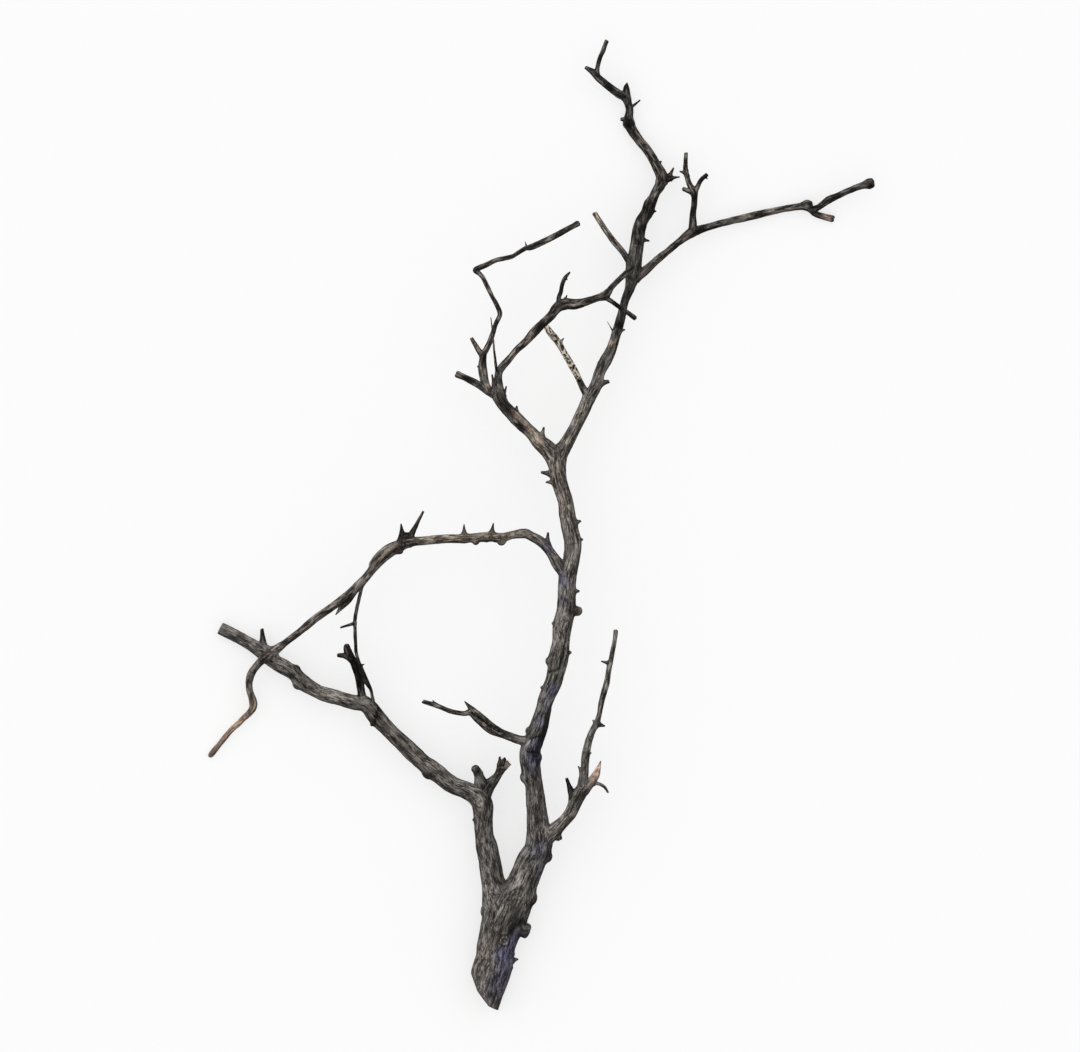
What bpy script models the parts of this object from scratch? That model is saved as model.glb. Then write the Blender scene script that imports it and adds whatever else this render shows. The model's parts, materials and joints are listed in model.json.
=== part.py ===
"""A fallen, leafless tree branch that lies on the ground, one solid for each piece between its main forks.

Plan places are millimetres on a full-size drawing sheet, x to the right and y down the sheet. The sheet's
middle is over the part's origin, and up the sheet is +Y. Heights are millimetres above the ground. A route
is a limb's centre line, as stations of (x, y, height, radius), from the limb's root to its tip.
"""
import math

import bmesh
import bpy
from mathutils import Vector

MM = 0.001
SHEET_MIDDLE_X = 540.5
SHEET_MIDDLE_Y = 525.9
CUT_GAP = 0.3            # saw-thin gap between two neighbouring pieces
RING_STEP = 11.0          # distance between two rings of a hair-thin twig
RING_STEP_PER_RADIUS = 0.8
ROUND_BODY_RADIUS = 12.0  # from here on a limb has twelve sides
STOUT_RADIUS = 8.2        # from here on it has ten
THIN_RADIUS = 3.6         # below this it has six, and eight between the two
SPUR_SIDES = 6
KNOB_SEGMENTS = 7
KNOB_RINGS = 5
SEAM_STRAIGHT_SHARE = 0.25  # share of a ring's step that stays straight at a cut
HACK_BLOCK = 0.2          # edge of the blocks that hew off the butt, in metres
GROUND_SIZE = 1.6         # width and depth of the block that planes off the undersides, in metres
GROUND_DEPTH = 0.1
WELD = 0.000001
SLIVER = 0.00003          # corners nearer than this after a cut become one
SMOOTH_ANGLE = math.radians(50)

# The trunk and the main stem, from the cut end to the top fork.
STEM = [
    (479, 1016, 17.4, 17.8), (485, 993, 17.7, 18.3), (492, 970, 18.0, 18.9), (498.5, 945, 18.8, 19.9),
    (504.8, 925, 20.4, 21.2), (513, 903, 21.5, 20.3), (521.3, 885, 23.5, 15.6), (532, 861, 26.5, 13.8),
    (538, 850, 28.5, 13.0), (538.7, 835, 31.0, 12.0), (536.3, 812, 34.5, 10.1), (535.3, 797, 37.0, 9.2),
    (534, 784, 39.5, 9.0), (531, 767, 43.0, 10.1), (529.8, 753, 45.5, 10.4), (534, 740, 48.0, 10.0),
    (539, 727, 50.0, 9.7), (543, 712, 52.0, 8.0), (547, 697, 54.0, 8.0), (552, 684, 55.5, 8.5),
    (556, 672, 56.5, 9.0), (558.5, 660, 57.3, 10.0), (560, 650, 57.8, 9.5), (561, 640, 58.0, 8.8),
    (562.4, 625, 58.2, 9.6), (566.2, 605, 58.0, 9.0), (567, 590, 57.6, 8.8), (567.8, 575, 57.0, 9.0),
    (571, 560, 56.0, 8.5), (573, 545, 54.5, 8.8), (570.5, 530, 52.5, 8.3), (567.5, 515, 50.5, 8.0),
    (565.3, 500, 48.5, 7.3), (559, 480, 46.0, 8.0), (557, 465, 44.0, 8.8), (556.5, 453, 42.7, 9.5),
]

# The left limb, from inside the trunk to its sawn end.
LEFT = [
    (504, 918, 20.0, 16.0), (499.5, 903, 20.6, 17.8), (494.6, 885, 21.5, 12.9), (489.2, 862, 22.5, 10.6),
    (486, 847, 22.6, 10.7), (484, 835, 22.4, 9.0), (483, 820, 22.0, 9.2), (482, 806, 21.6, 10.4),
    (477, 797, 21.0, 10.2), (466, 790, 20.5, 9.6), (453, 785.5, 20.0, 8.8), (441, 777, 19.5, 8.4),
    (432, 769, 19.0, 8.3), (419, 759, 18.7, 8.5), (401, 742, 18.5, 8.0), (388.5, 728.5, 19.0, 8.3),
    (378, 717.5, 19.5, 9.0), (366, 705.5, 20.0, 8.3), (353, 702.5, 20.0, 7.7), (340, 698.5, 19.4, 7.2),
    (325, 694.6, 18.4, 6.9), (317, 691.6, 17.6, 6.8), (304, 684, 15.8, 7.8), (293, 673.5, 14.0, 7.0),
    (283, 667, 12.3, 7.5), (275, 662.5, 11.0, 7.2), (268, 656, 9.8, 8.5), (254, 647, 8.0, 6.8),
    (239, 638.5, 6.3, 6.3), (219.4, 628.4, 5.6, 6.2),
]
RIGHT_STUB = [
    (485.5, 793, 21, 7.2), (488.8, 786, 23.5, 7.0), (493, 781, 25.5, 5.6), (497, 776, 27.5, 5.0),
    (501, 769, 29.5, 5.6), (505.5, 760.5, 31, 6.4),
]
LEFT_STUB = [
    (481, 793, 21, 5.0), (480.4, 784, 24.5, 5.6), (478.6, 775, 28, 4.8), (476.5, 769, 30.5, 3.8),
    (476.2, 766, 31.5, 2.2),
]
BURNT = [
    (363.5, 702, 21, 5.0), (361.5, 695, 25, 4.3), (359.3, 680, 30.5, 3.8), (355, 665, 35, 4.0),
    (350.5, 656, 37.5, 4.1), (347.8, 650, 39, 4.0), (346.9, 645, 40, 2.8),
]
BURNT_ARM = [(350, 658, 37, 3.4), (344, 655.5, 38, 2.7), (338, 655, 38.6, 2.0)]

# The limb that arches to the left, over the left limb and down to the ground.
ARCH = [
    (567.5, 575, 57.0, 6.0), (559.5, 565.5, 59.5, 6.2), (551.2, 553.2, 62.0, 5.1), (541.6, 542, 65.5, 5.1),
    (531, 536, 68.0, 4.6), (524, 533.5, 69.5, 4.7), (512, 535, 71.0, 4.0), (502, 538, 72.0, 4.9),
    (490, 537.2, 72.8, 4.7), (470, 538, 73.0, 4.7), (455, 538.5, 72.4, 4.6), (440, 539.3, 71.0, 4.3),
    (425, 540.6, 69.0, 4.4), (412, 541.8, 66.6, 5.2), (402, 545, 64.2, 5.5), (390, 552, 61.2, 5.8),
    (380, 561, 58.0, 5.0), (370, 573, 54.6, 4.2), (361, 583, 52.0, 4.2), (352, 591.5, 49.5, 4.3),
    (343.8, 599, 47.0, 4.6), (330, 608.5, 43.6, 4.0), (315, 619, 39.5, 3.9), (300, 631.5, 34.8, 3.6),
    (285, 643, 29.8, 3.5), (276, 649.5, 27.0, 4.5), (266, 656.5, 24.4, 5.0), (258, 664, 21.5, 3.9),
    (252, 672, 18.5, 3.8), (249, 680, 16.0, 3.6), (249, 690, 13.0, 3.4), (252.2, 707.2, 9.0, 3.8),
    (240, 721.5, 6.3, 2.9), (230, 731, 4.8, 2.8), (220, 743, 3.4, 2.8), (211, 754.2, 2.5, 3.0),
    (208.6, 757, 2.3, 2.1),
]
ARCH_STRAND = [
    (405, 542, 65, 3.0), (392, 546.2, 62.6, 3.6), (381.5, 553.5, 60, 3.8), (373.5, 562.5, 57.4, 3.4),
    (371.8, 566.3, 56.4, 2.6), (370.8, 568.8, 55.8, 1.2),
]
TORN_STUB = [
    (357, 588, 50, 3.0), (351, 597, 46.5, 3.4), (344, 604.5, 43.5, 3.2), (339.5, 610, 42, 1.9),
    (336, 614.5, 41, 0.5),
]
HANGING = [
    (365, 578.5, 53.4, 2.6), (362.7, 585, 50.5, 2.3), (361, 592, 48.2, 1.9), (358, 604.6, 46, 1.9),
    (355.5, 617, 44.5, 1.9), (355.2, 626, 43.6, 1.9), (355.5, 636.5, 42.6, 1.8), (356.3, 651.5, 41, 1.7),
    (358.2, 659, 39.6, 1.8), (361.2, 668.7, 37.6, 2.6), (364.6, 678, 35.6, 3.1), (368.2, 684.5, 34, 2.3),
    (371, 690, 32.6, 1.6), (372.5, 697.4, 31, 1.6), (374, 704, 29.6, 1.5),
]

# The low side twig on the left of the stem, and its sliver.
LOW_TWIG = [
    (534, 744, 48, 5.2), (526, 741, 50, 4.8), (517, 738.8, 52, 4.3), (505.3, 735, 54.5, 4.9),
    (492.2, 728, 57, 5.6), (480.3, 718.2, 60, 5.5), (471, 712.2, 62, 3.6), (463.5, 712.8, 63.4, 2.5),
    (450, 710.2, 65, 2.4), (437, 705, 66.6, 2.4), (423.6, 700.8, 68, 2.2),
]
LOW_SLIVER = [(478, 714, 61, 3.6), (471, 707.5, 62.6, 2.6), (465, 700.8, 64, 0.5)]

# The slender right limb, its long shoot, and the torn spike.
RIGHT = [
    (539, 846, 29.5, 9.0), (546, 838, 31.0, 9.0), (555, 830.3, 32.0, 7.6), (563, 822, 33.0, 6.3),
    (570, 813.5, 34.4, 6.5), (575, 803, 36.2, 6.8), (579.5, 794, 38.0, 6.9), (584, 786.5, 40, 5.8),
    (584, 782, 41.2, 4.6),
]
SHOOT = [
    (582.5, 789, 39.5, 5.6), (583.5, 780, 42, 5.2), (584.5, 770, 44.6, 4.3), (585.3, 758, 47, 4.2),
    (587.5, 745, 49, 3.7), (591.5, 732, 50.5, 3.4), (596.5, 722, 51, 3.2), (599.5, 712, 51, 2.6),
    (602.3, 697, 50.5, 3.2), (606.6, 682, 49.6, 2.9), (608.8, 670, 48.6, 2.7), (611.2, 657, 47.2, 2.5),
    (613.8, 645, 45.6, 2.3), (615.8, 630.2, 44, 2.2),
]
SPIKE = [
    (583, 790, 40, 5.5), (589, 783, 43, 5.2), (593.5, 775, 46, 4.8), (597, 768, 48, 3.3),
    (600.5, 760.7, 50, 0.5),
]
SPIKE_TWIG = [
    (588, 785, 42, 3.0), (595.9, 782.9, 43.4, 1.9), (603.5, 785.9, 44.4, 1.6), (608, 792, 45, 1.1),
]

# The upper left limb and what grows from it.
TOP_LEFT = [
    (555, 459, 43, 9.4), (547.2, 448.5, 44.6, 8.8), (539, 440.8, 46.0, 7.7), (532, 433.2, 47.4, 6.8),
    (521.5, 423.5, 49.5, 7.0), (511.8, 413.8, 51.5, 6.7), (502, 400.8, 54, 6.2), (498, 391.5, 55.4, 5.2),
    (496.5, 388, 56, 3.6),
]
LEFT_TWIG = [
    (500, 398, 54.5, 4.8), (492.5, 394, 55.2, 4.5), (484, 388, 56, 3.8), (475, 382.5, 57, 3.4),
    (466, 378.5, 57.8, 3.2), (457.6, 374.7, 58.4, 3.4),
]
ZIGZAG = [
    (489.5, 392, 55.8, 4.4), (485.5, 384, 58, 4.5), (483.5, 376, 60.5, 4.4), (482.5, 366, 62.4, 4.1),
    (484, 355, 64, 3.2), (487, 349, 64.8, 3.0), (491, 340, 65.8, 2.6), (495.9, 325, 66.8, 2.3),
    (500.2, 315, 67, 2.5), (497, 306, 66.5, 2.3), (492, 296.5, 65.8, 2.2), (487.3, 287, 65, 2.2),
    (483.5, 279, 64.4, 2.2), (479.7, 274.5, 64, 2.3), (475.8, 270.8, 63.6, 2.7), (485.4, 266.9, 62.4, 2.0),
    (495.9, 261.6, 60.8, 1.9), (504.5, 259.7, 59.6, 1.7), (512.2, 257.8, 58.6, 1.6),
    (518.9, 253.5, 57.6, 1.6),
    (525.6, 249.4, 56.6, 1.8), (531.5, 248, 55.8, 2.9), (545.7, 241.5, 54, 3.0), (560, 234.3, 52, 2.9),
    (569.6, 228.6, 50.6, 2.8), (578, 223.8, 49.4, 3.3),
]
ZIGZAG_TWIG = [(482.8, 357, 63.6, 2.9), (477.5, 349, 65.5, 2.5), (472, 339.5, 67.6, 2.0)]
CROSSING = [
    (500.5, 395, 55, 5.2), (499, 386, 57, 4.4), (498.2, 378, 59, 3.9), (499.8, 370.8, 60.6, 4.0),
    (507, 361, 62, 4.0), (516, 350, 63, 3.9), (525.2, 342, 63.6, 4.1), (534, 333, 63.6, 4.5),
    (542, 324, 63, 4.5), (550.2, 316, 62, 5.0), (557, 307.5, 60.5, 6.0), (566, 304.5, 58.6, 6.0),
    (575, 304.5, 56.6, 5.4), (586, 302, 54, 4.0), (597, 298.5, 51.4, 3.4), (605, 295.5, 49.2, 4.3),
    (612, 287, 46, 2.9), (620, 279, 42.6, 3.0), (628, 272, 39.4, 2.9), (634, 267.5, 37, 2.4),
]
CROSSING_TWIG = [
    (603, 296.5, 49.6, 3.2), (613, 303, 47.4, 2.3), (622, 309.5, 45.8, 2.3), (635.2, 318.7, 44, 2.5),
]
CROSSING_SHOOT = [
    (560, 306, 61, 3.4), (558.8, 299, 63, 2.4), (560, 292.7, 64.6, 2.0), (561, 286, 66, 2.0),
    (564, 278.4, 67.4, 2.0), (569, 273, 68.4, 1.0),
]
DRY_SHOOT = [
    (499, 386, 57.4, 2.6), (497.8, 379, 62, 2.2), (496.8, 372, 65.8, 1.6), (495.5, 361, 69.4, 1.3),
    (493.8, 345, 72.4, 1.0), (492.5, 330, 73.6, 0.8), (491, 318.5, 74, 0.5),
]

# The leader above the top fork, and its twigs.
LEADER = [
    (557, 459, 43, 9.0), (566.2, 442, 41.2, 7.6), (574.6, 427.5, 39.3, 6.6), (582.4, 412.5, 37.3, 6.2),
    (587.6, 400.5, 35.5, 6.4), (596, 385, 33.2, 6.2), (600, 372, 31.4, 5.4), (605.5, 361, 30, 5.8),
    (612, 348, 28.7, 5.2), (617, 332, 27.2, 4.8), (621.5, 315, 26, 4.5), (625, 300, 25.2, 4.5),
    (630.5, 286, 24.5, 5.5), (633.4, 270, 23.8, 7.5), (635.3, 256, 23, 6.9), (636.8, 245, 22.3, 6.7),
    (638.4, 233, 21.3, 6.7), (640.9, 222, 20.3, 6.5), (646.9, 212, 19, 6.6), (651.2, 203.4, 17.9, 5.5),
    (655.4, 193, 16.7, 4.6), (660.6, 184, 15.8, 5.4), (662, 175, 14.6, 6.0), (656, 163, 12.6, 4.8),
    (648, 150, 10, 4.4), (638.6, 138, 7.2, 4.7), (631.4, 127, 4.3, 4.9), (629, 117, 5.4, 4.3),
    (629.6, 109, 7, 3.8), (627.6, 100, 9, 4.1), (624.6, 95.8, 10.4, 4.5), (616.8, 91.6, 12, 4.1),
    (607, 84.2, 14.4, 3.8), (598.8, 77.5, 16.6, 3.6), (593.2, 71.4, 18.4, 3.5), (586, 66.8, 20, 1.9),
]
LEADER_SHOOT = [
    (597, 73.5, 17.4, 2.9), (597.5, 67, 20, 2.4), (599.8, 58, 23.4, 2.4), (603.8, 49, 26.8, 2.3),
    (606.8, 40.9, 29.4, 2.1),
]
OLD_STUB = [(641, 226, 22, 5.0), (645.6, 212, 27, 4.5), (648, 203, 30, 4.4), (649.3, 199, 31.4, 2.6)]
TOP_STUB = [(627.5, 99, 9.6, 3.6), (626.8, 91, 12, 3.4), (626.6, 86, 13.6, 2.8), (627.2, 82.2, 14.8, 0.7)]
TOP_SIDE_TWIG = [(630, 107.5, 7.6, 1.9), (635, 103.5, 9, 1.3), (640.2, 99.3, 10.4, 0.8)]
LICHEN = [
    (589, 399, 35, 4.6), (584.6, 391, 37, 3.6), (580, 382, 39.5, 3.0), (574.5, 371, 42, 2.9),
    (566.5, 357, 45, 2.8), (558.5, 343.5, 47.6, 3.0), (550.6, 333.5, 49.4, 3.4), (545.3, 325.6, 50.4, 2.6),
]
SHORT_TWIG = [
    (634, 268, 24, 4.4), (628.5, 260.5, 25.4, 3.4), (622, 251, 27.2, 3.0), (612, 239, 29.6, 3.0),
    (603, 226.5, 32, 2.7), (594.5, 213.2, 34, 2.7),
]

# The right branch, its knot with the upright twig, and its forked end.
RIGHT_BRANCH = [
    (635, 279, 24, 5.0), (648, 268, 23.6, 4.4), (660, 257.5, 22, 3.7), (671, 248.5, 19.8, 3.5),
    (680, 241, 17.8, 3.6), (692, 232.5, 15.2, 5.0), (706, 227.1, 12.6, 3.9), (727, 221.2, 9.6, 3.6),
    (746, 216.9, 7.6, 3.7), (766, 212.2, 6.2, 3.8), (785, 208, 5.8, 3.4), (800, 205.7, 6.2, 3.6),
    (807.5, 204.4, 6.8, 5.1), (812, 203.9, 7.2, 3.6),
]
END_TWIG = [
    (807, 205, 6.8, 4.0), (813, 209, 7.8, 3.9), (819, 206.5, 9.2, 3.1), (829, 199.5, 11.8, 3.6),
    (838, 195.5, 13.8, 3.2), (850, 190, 16.2, 3.2), (860, 186, 18.2, 3.4), (872.6, 182.4, 20, 4.5),
]
END_STUB = [(810, 208, 7.4, 3.4), (815.5, 212.6, 5.6, 3.3), (822, 215, 4, 3.2), (833.3, 217.8, 2.9, 3.5)]
UPRIGHT = [
    (692.5, 232, 15.4, 4.0), (693, 224, 17.6, 4.0), (693, 215, 19.8, 3.4), (694.3, 203, 22.2, 3.0),
    (694, 192, 24.4, 3.6), (689.3, 183, 26.2, 2.9), (686, 172, 28, 2.7), (685.5, 162, 29.2, 2.1),
    (686, 153.5, 30, 1.9),
]
UPRIGHT_ARM = [(694, 194, 24, 3.0), (697.3, 187, 25.2, 2.4), (701, 180, 26.2, 2.2), (707, 174.5, 27, 2.0)]
UPRIGHT_STUB = [(693, 192.5, 24.4, 2.8), (683, 188.6, 25.4, 2.0)]


def point(x, y, height):
    """A place of the drawing sheet as a place in the part's own frame, in metres."""
    return Vector(((x - SHEET_MIDDLE_X) * MM, (SHEET_MIDDLE_Y - y) * MM, height * MM))


def bend(before, start, end, after, share):
    """A smooth curve through start and end, read at a share of the way between them."""
    return 0.5 * ((2 * start) + (end - before) * share
                  + (2 * before - 5 * start + 4 * end - after) * share ** 2
                  + (3 * start - before - 3 * end + after) * share ** 3)


def centre_line(route, first, last):
    """The rings (centre, radius) of a route between two stations. A route that is cut there stops half a
    gap before the station or starts half a gap after it, straight along the route's own direction."""
    centres = [point(x, y, height) for x, y, height, _ in route]
    radii = [station[3] * MM for station in route]
    end = len(route) - 1

    def heading(index):
        return (centres[min(index + 1, end)] - centres[max(index - 1, 0)]).normalized()

    rings = []
    for index in range(first, last):
        start, stop = centres[index], centres[index + 1]
        before = centres[index - 1] if index > 0 else 2 * start - stop
        after = centres[index + 2] if index + 2 <= end else 2 * stop - start
        mean_radius = (radii[index] + radii[index + 1]) / 2
        step = RING_STEP * MM + RING_STEP_PER_RADIUS * mean_radius
        count = max(1, round((stop - start).length / step))
        if index == first and first > 0:
            straight = (stop - start).length / count * SEAM_STRAIGHT_SHARE
            rings.append((start + heading(index) * CUT_GAP * MM / 2, radii[index]))
            rings.append((start + heading(index) * straight, radii[index]))
        else:
            rings.append((start, radii[index]))
        for number in range(1, count):
            share = number / count
            radius = radii[index] + (radii[index + 1] - radii[index]) * share
            rings.append((bend(before, start, stop, after, share), radius))
    stop = centres[last]
    if last < end:
        straight = (stop - rings[-1][0]).length * SEAM_STRAIGHT_SHARE
        rings.append((stop - heading(last) * straight, radii[last]))
        rings.append((stop - heading(last) * CUT_GAP * MM / 2, radii[last]))
    else:
        rings.append((stop, radii[last]))
    return rings


def new_collection(name):
    collection = bpy.data.collections.new(name)
    bpy.context.scene.collection.children.link(collection)
    return collection


def as_mesh(curve_object, name):
    """The curve's tube as a closed mesh object of its own. The curve is removed."""
    evaluated = curve_object.evaluated_get(bpy.context.evaluated_depsgraph_get())
    mesh = bpy.data.meshes.new_from_object(evaluated)
    shape = bmesh.new()
    shape.from_mesh(mesh)
    bmesh.ops.remove_doubles(shape, verts=shape.verts, dist=WELD)
    bmesh.ops.recalc_face_normals(shape, faces=shape.faces)
    shape.to_mesh(mesh)
    shape.free()
    body = bpy.data.objects.new(name, mesh)
    body.matrix_world = curve_object.matrix_world
    bpy.data.objects.remove(curve_object)
    branch.objects.link(body)
    return body


def tube(name, rings):
    """A tapering tube with filled ends through the rings."""
    thickest = max(radius for _, radius in rings)
    curve = bpy.data.curves.new("route", "CURVE")
    curve.dimensions = "3D"
    curve.bevel_depth = MM
    steps = (THIN_RADIUS * MM, STOUT_RADIUS * MM, ROUND_BODY_RADIUS * MM)
    curve.bevel_resolution = 1 + sum(thickest > step for step in steps)
    curve.use_fill_caps = True
    spline = curve.splines.new("POLY")
    spline.points.add(len(rings) - 1)
    for control, (centre, radius) in zip(spline.points, rings):
        control.co = (*centre, 1.0)
        control.radius = radius / MM
    curve_object = bpy.data.objects.new("route", curve)
    branch.objects.link(curve_object)
    bpy.context.view_layer.update()
    return as_mesh(curve_object, name)


def combine(body, other, operation):
    """Join another body to this one, or cut it away from it. Where the exact solver loses the body, the
    manifold one takes over."""
    modifier = body.modifiers.new("combine", "BOOLEAN")
    modifier.operation = operation
    modifier.object = other
    for solver in ("EXACT", "MANIFOLD"):
        modifier.solver = solver
        bpy.context.view_layer.update()
        evaluated = body.evaluated_get(bpy.context.evaluated_depsgraph_get())
        result = bpy.data.meshes.new_from_object(evaluated)
        if len(result.polygons) > len(body.data.polygons) / 2:
            break
    shape = bmesh.new()
    shape.from_mesh(result)
    bmesh.ops.remove_doubles(shape, verts=shape.verts, dist=SLIVER)
    shape.to_mesh(result)
    shape.free()
    body.modifiers.clear()
    body.data = result


def fuse(body, other):
    combine(body, other, "UNION")
    bpy.data.objects.remove(other)


def height_on(route, x, y):
    """The height of a route's centre line where it passes nearest to a place of the plan."""
    place = point(x, y, 0)
    best = min(centre_line(route, 0, len(route) - 1),
               key=lambda ring: (ring[0].xy - place.xy).length)
    return best[0].z / MM


def spur(route, root, tip, thickness, lift=0.0, sharpness=0.25):
    """A thorn or short spur on a route: a cone from root to tip, both (x, y) on the plan."""
    height = height_on(route, *root)
    start = point(*root, height)
    stop = point(*tip, height + lift)
    shape = bmesh.new()
    length = (stop - start).length
    bmesh.ops.create_cone(shape, cap_ends=True, segments=SPUR_SIDES, radius1=thickness * MM,
                          radius2=thickness * sharpness * MM, depth=length)
    return placed(shape, "spur", (start + stop) / 2, stop - start)


def knob(route, centre, radius, lift=0.0):
    """A rounded knob on a route, its centre at (x, y) on the plan."""
    shape = bmesh.new()
    bmesh.ops.create_uvsphere(shape, u_segments=KNOB_SEGMENTS, v_segments=KNOB_RINGS, radius=radius * MM)
    return placed(shape, "knob", point(*centre, height_on(route, *centre) + lift), Vector((0, 0, 1)))


def placed(shape, name, centre, direction):
    """The shape as an object at a place, its own +Z turned to a direction."""
    mesh = bpy.data.meshes.new(name)
    shape.to_mesh(mesh)
    shape.free()
    body = bpy.data.objects.new(name, mesh)
    body.location = centre
    body.rotation_mode = "QUATERNION"
    body.rotation_quaternion = direction.to_track_quat("Z", "Y")
    branch.objects.link(body)
    bpy.context.view_layer.update()
    return body


def limb(name, material, stretches, growths=()):
    """One piece: its main stretch of a route, with more stretches, spurs and knobs grown together."""
    route, first, last = stretches[0]
    body = tube(name, centre_line(route, first, last))
    for route, first, last in stretches[1:]:
        fuse(body, tube("side", centre_line(route, first, last)))
    for growth in growths:
        fuse(body, growth)
    body.data.materials.clear()
    body.data.materials.append(material)
    return body


def plane_cut(name, left, right):
    """A block on the outer side of the upright plane through two places (x, y) of the plan."""
    start, stop = point(*left, 0), point(*right, 0)
    along = (stop - start).normalized()
    outward = Vector((along.y, -along.x, 0))
    shape = bmesh.new()
    bmesh.ops.create_cube(shape, size=HACK_BLOCK)
    mesh = bpy.data.meshes.new(name)
    shape.to_mesh(mesh)
    shape.free()
    block = bpy.data.objects.new(name, mesh)
    block.location = (start + stop) / 2 + outward * HACK_BLOCK / 2
    block.rotation_euler = (0, 0, math.atan2(along.y, along.x))
    return as_cutter(block)


def ground_cut():
    """The block of ground that planes the undersides flat where the branch rests."""
    shape = bmesh.new()
    bmesh.ops.create_cube(shape, size=1.0)
    bmesh.ops.scale(shape, vec=(GROUND_SIZE, GROUND_SIZE, GROUND_DEPTH), verts=shape.verts)
    bmesh.ops.translate(shape, vec=(0, 0, -GROUND_DEPTH / 2), verts=shape.verts)
    mesh = bpy.data.meshes.new("ground")
    shape.to_mesh(mesh)
    shape.free()
    return as_cutter(bpy.data.objects.new("ground", mesh))


def as_cutter(block):
    block.hide_render = True
    block.display_type = "WIRE"
    cutters.objects.link(block)
    bpy.context.view_layer.update()
    return block


def cut(body, *blocks):
    for block in blocks:
        combine(body, block, "DIFFERENCE")


def finish(name, red, green, blue, roughness):
    """A plain material of one linear colour."""
    material = bpy.data.materials.new(name)
    material.use_nodes = True
    shader = material.node_tree.nodes["Principled BSDF"]
    shader.inputs["Base Color"].default_value = (red, green, blue, 1.0)
    shader.inputs["Roughness"].default_value = roughness
    shader.inputs["Metallic"].default_value = 0.0
    return material


def bark():
    return finish("bark", 0.075, 0.066, 0.058, 0.9)


def dark_bark():
    return finish("dark_bark", 0.022, 0.020, 0.019, 0.9)


def twig_bark():
    return finish("twig_bark", 0.11, 0.09, 0.075, 0.85)


def lichen_bark():
    return finish("lichen_bark", 0.32, 0.29, 0.22, 0.95)


def trunk(ground):
    body = limb("trunk", bark(), [(STEM, 0, 7), (LEFT, 0, 3)], [
        knob(STEM, (527, 929.8), 6.6), knob(STEM, (486.3, 913), 5.4), knob(STEM, (533.5, 898), 4.5),
        spur(STEM, (507, 961), (517.3, 960), 4.0),
    ])
    hacks = [plane_cut("upper_hack", (470.2, 971.5), (478, 992)),
             plane_cut("middle_hack", (478, 992), (489, 1006.6)),
             plane_cut("lower_hack", (489, 1006.6), (499, 1012))]
    cut(body, *hacks, ground)


def left_limb_lower():
    limb("left_limb_lower", bark(), [(LEFT, 3, 11), (RIGHT_STUB, 0, 5), (LEFT_STUB, 0, 4)], [
        spur(LEFT, (478, 821), (472.6, 820), 3.5), knob(LEFT, (487, 803), 4.6),
        spur(RIGHT_STUB, (503, 765), (500.6, 755.5), 2.6, 3.0),
        spur(RIGHT_STUB, (506, 765), (510.8, 763), 2.4, 2.0),
        spur(LEFT_STUB, (478, 774), (482.5, 772.5), 2.4),
    ])


def left_limb_outer():
    limb("left_limb_outer", bark(), [(LEFT, 11, 18), (BURNT, 0, 1)], [
        spur(LEFT, (376, 719), (370.8, 725.6), 4.5), knob(LEFT, (425.5, 771), 6.2),
        spur(LEFT, (438, 772), (442.6, 766.2), 4.0),
    ])


def left_limb_tip(ground):
    body = limb("left_limb_tip", bark(), [(LEFT, 18, 29)], [
        spur(LEFT, (263, 650), (261.5, 629.5), 5.2, 4.0, 0.33), spur(LEFT, (296, 675), (295, 666.8), 3.5),
        spur(LEFT, (299, 681), (296, 689), 3.5), knob(LEFT, (272, 651), 4.5),
    ])
    cut(body, ground)


def burnt_stub():
    limb("burnt_stub", dark_bark(), [(BURNT, 1, 6), (BURNT_ARM, 0, 2)], [
        spur(BURNT, (354, 670), (360, 667), 2.2), spur(BURNT, (359.5, 687), (364.5, 683), 2.4),
    ])


def stem_lower():
    limb("stem_lower", bark(), [(STEM, 7, 12), (RIGHT, 0, 3)], [
        spur(RIGHT, (554.5, 832), (560.8, 841.4), 6.4), spur(STEM, (541, 853), (550, 850), 4.5),
        spur(STEM, (542, 856.6), (552.6, 859), 4.6, 1.0),
    ])


def right_limb():
    limb("right_limb", bark(), [(RIGHT, 3, 8), (SHOOT, 0, 3), (SPIKE, 0, 4), (SPIKE_TWIG, 0, 3)], [
        spur(RIGHT, (573.5, 798), (566.6, 778.5), 5.4, 4.0, 0.3), spur(SHOOT, (582, 772), (578.2, 766), 3.0),
    ])


def right_shoot():
    limb("right_shoot", bark(), [(SHOOT, 3, 13)], [
        spur(SHOOT, (587.2, 753.5), (591.2, 752.4), 2.4), spur(SHOOT, (598, 724), (604.6, 725.7), 3.6),
        spur(SHOOT, (609, 663), (601.2, 661), 2.9), spur(SHOOT, (595, 723), (592.5, 719.5), 2.2),
    ])


def stem_middle():
    limb("stem_middle", bark(), [(STEM, 12, 17), (LOW_TWIG, 0, 2)], [
        spur(STEM, (527, 775), (521.4, 776.3), 4.0), knob(STEM, (531, 731), 5.0), knob(STEM, (538, 757), 4.2),
    ])


def low_side_twig():
    limb("low_side_twig", dark_bark(), [(LOW_TWIG, 2, 10), (LOW_SLIVER, 0, 2)], [
        spur(LOW_TWIG, (499, 731), (487, 720), 2.6, 3.5, 0.6), spur(LOW_TWIG, (437, 704), (433, 699.5), 1.7),
    ])


def stem_upper():
    limb("stem_upper", bark(), [(STEM, 17, 29), (ARCH, 0, 2)], [
        spur(STEM, (546, 688), (540.8, 687), 4.0), knob(STEM, (551, 661), 5.0),
        spur(STEM, (564, 653), (571, 652), 4.5),
        spur(STEM, (557, 623), (552, 623), 4.0), knob(STEM, (576.4, 610.5), 5.2, 1.0),
        spur(STEM, (572, 591), (579, 591), 4.6), knob(STEM, (556, 672), 5.5, 5.0),
    ])


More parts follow.
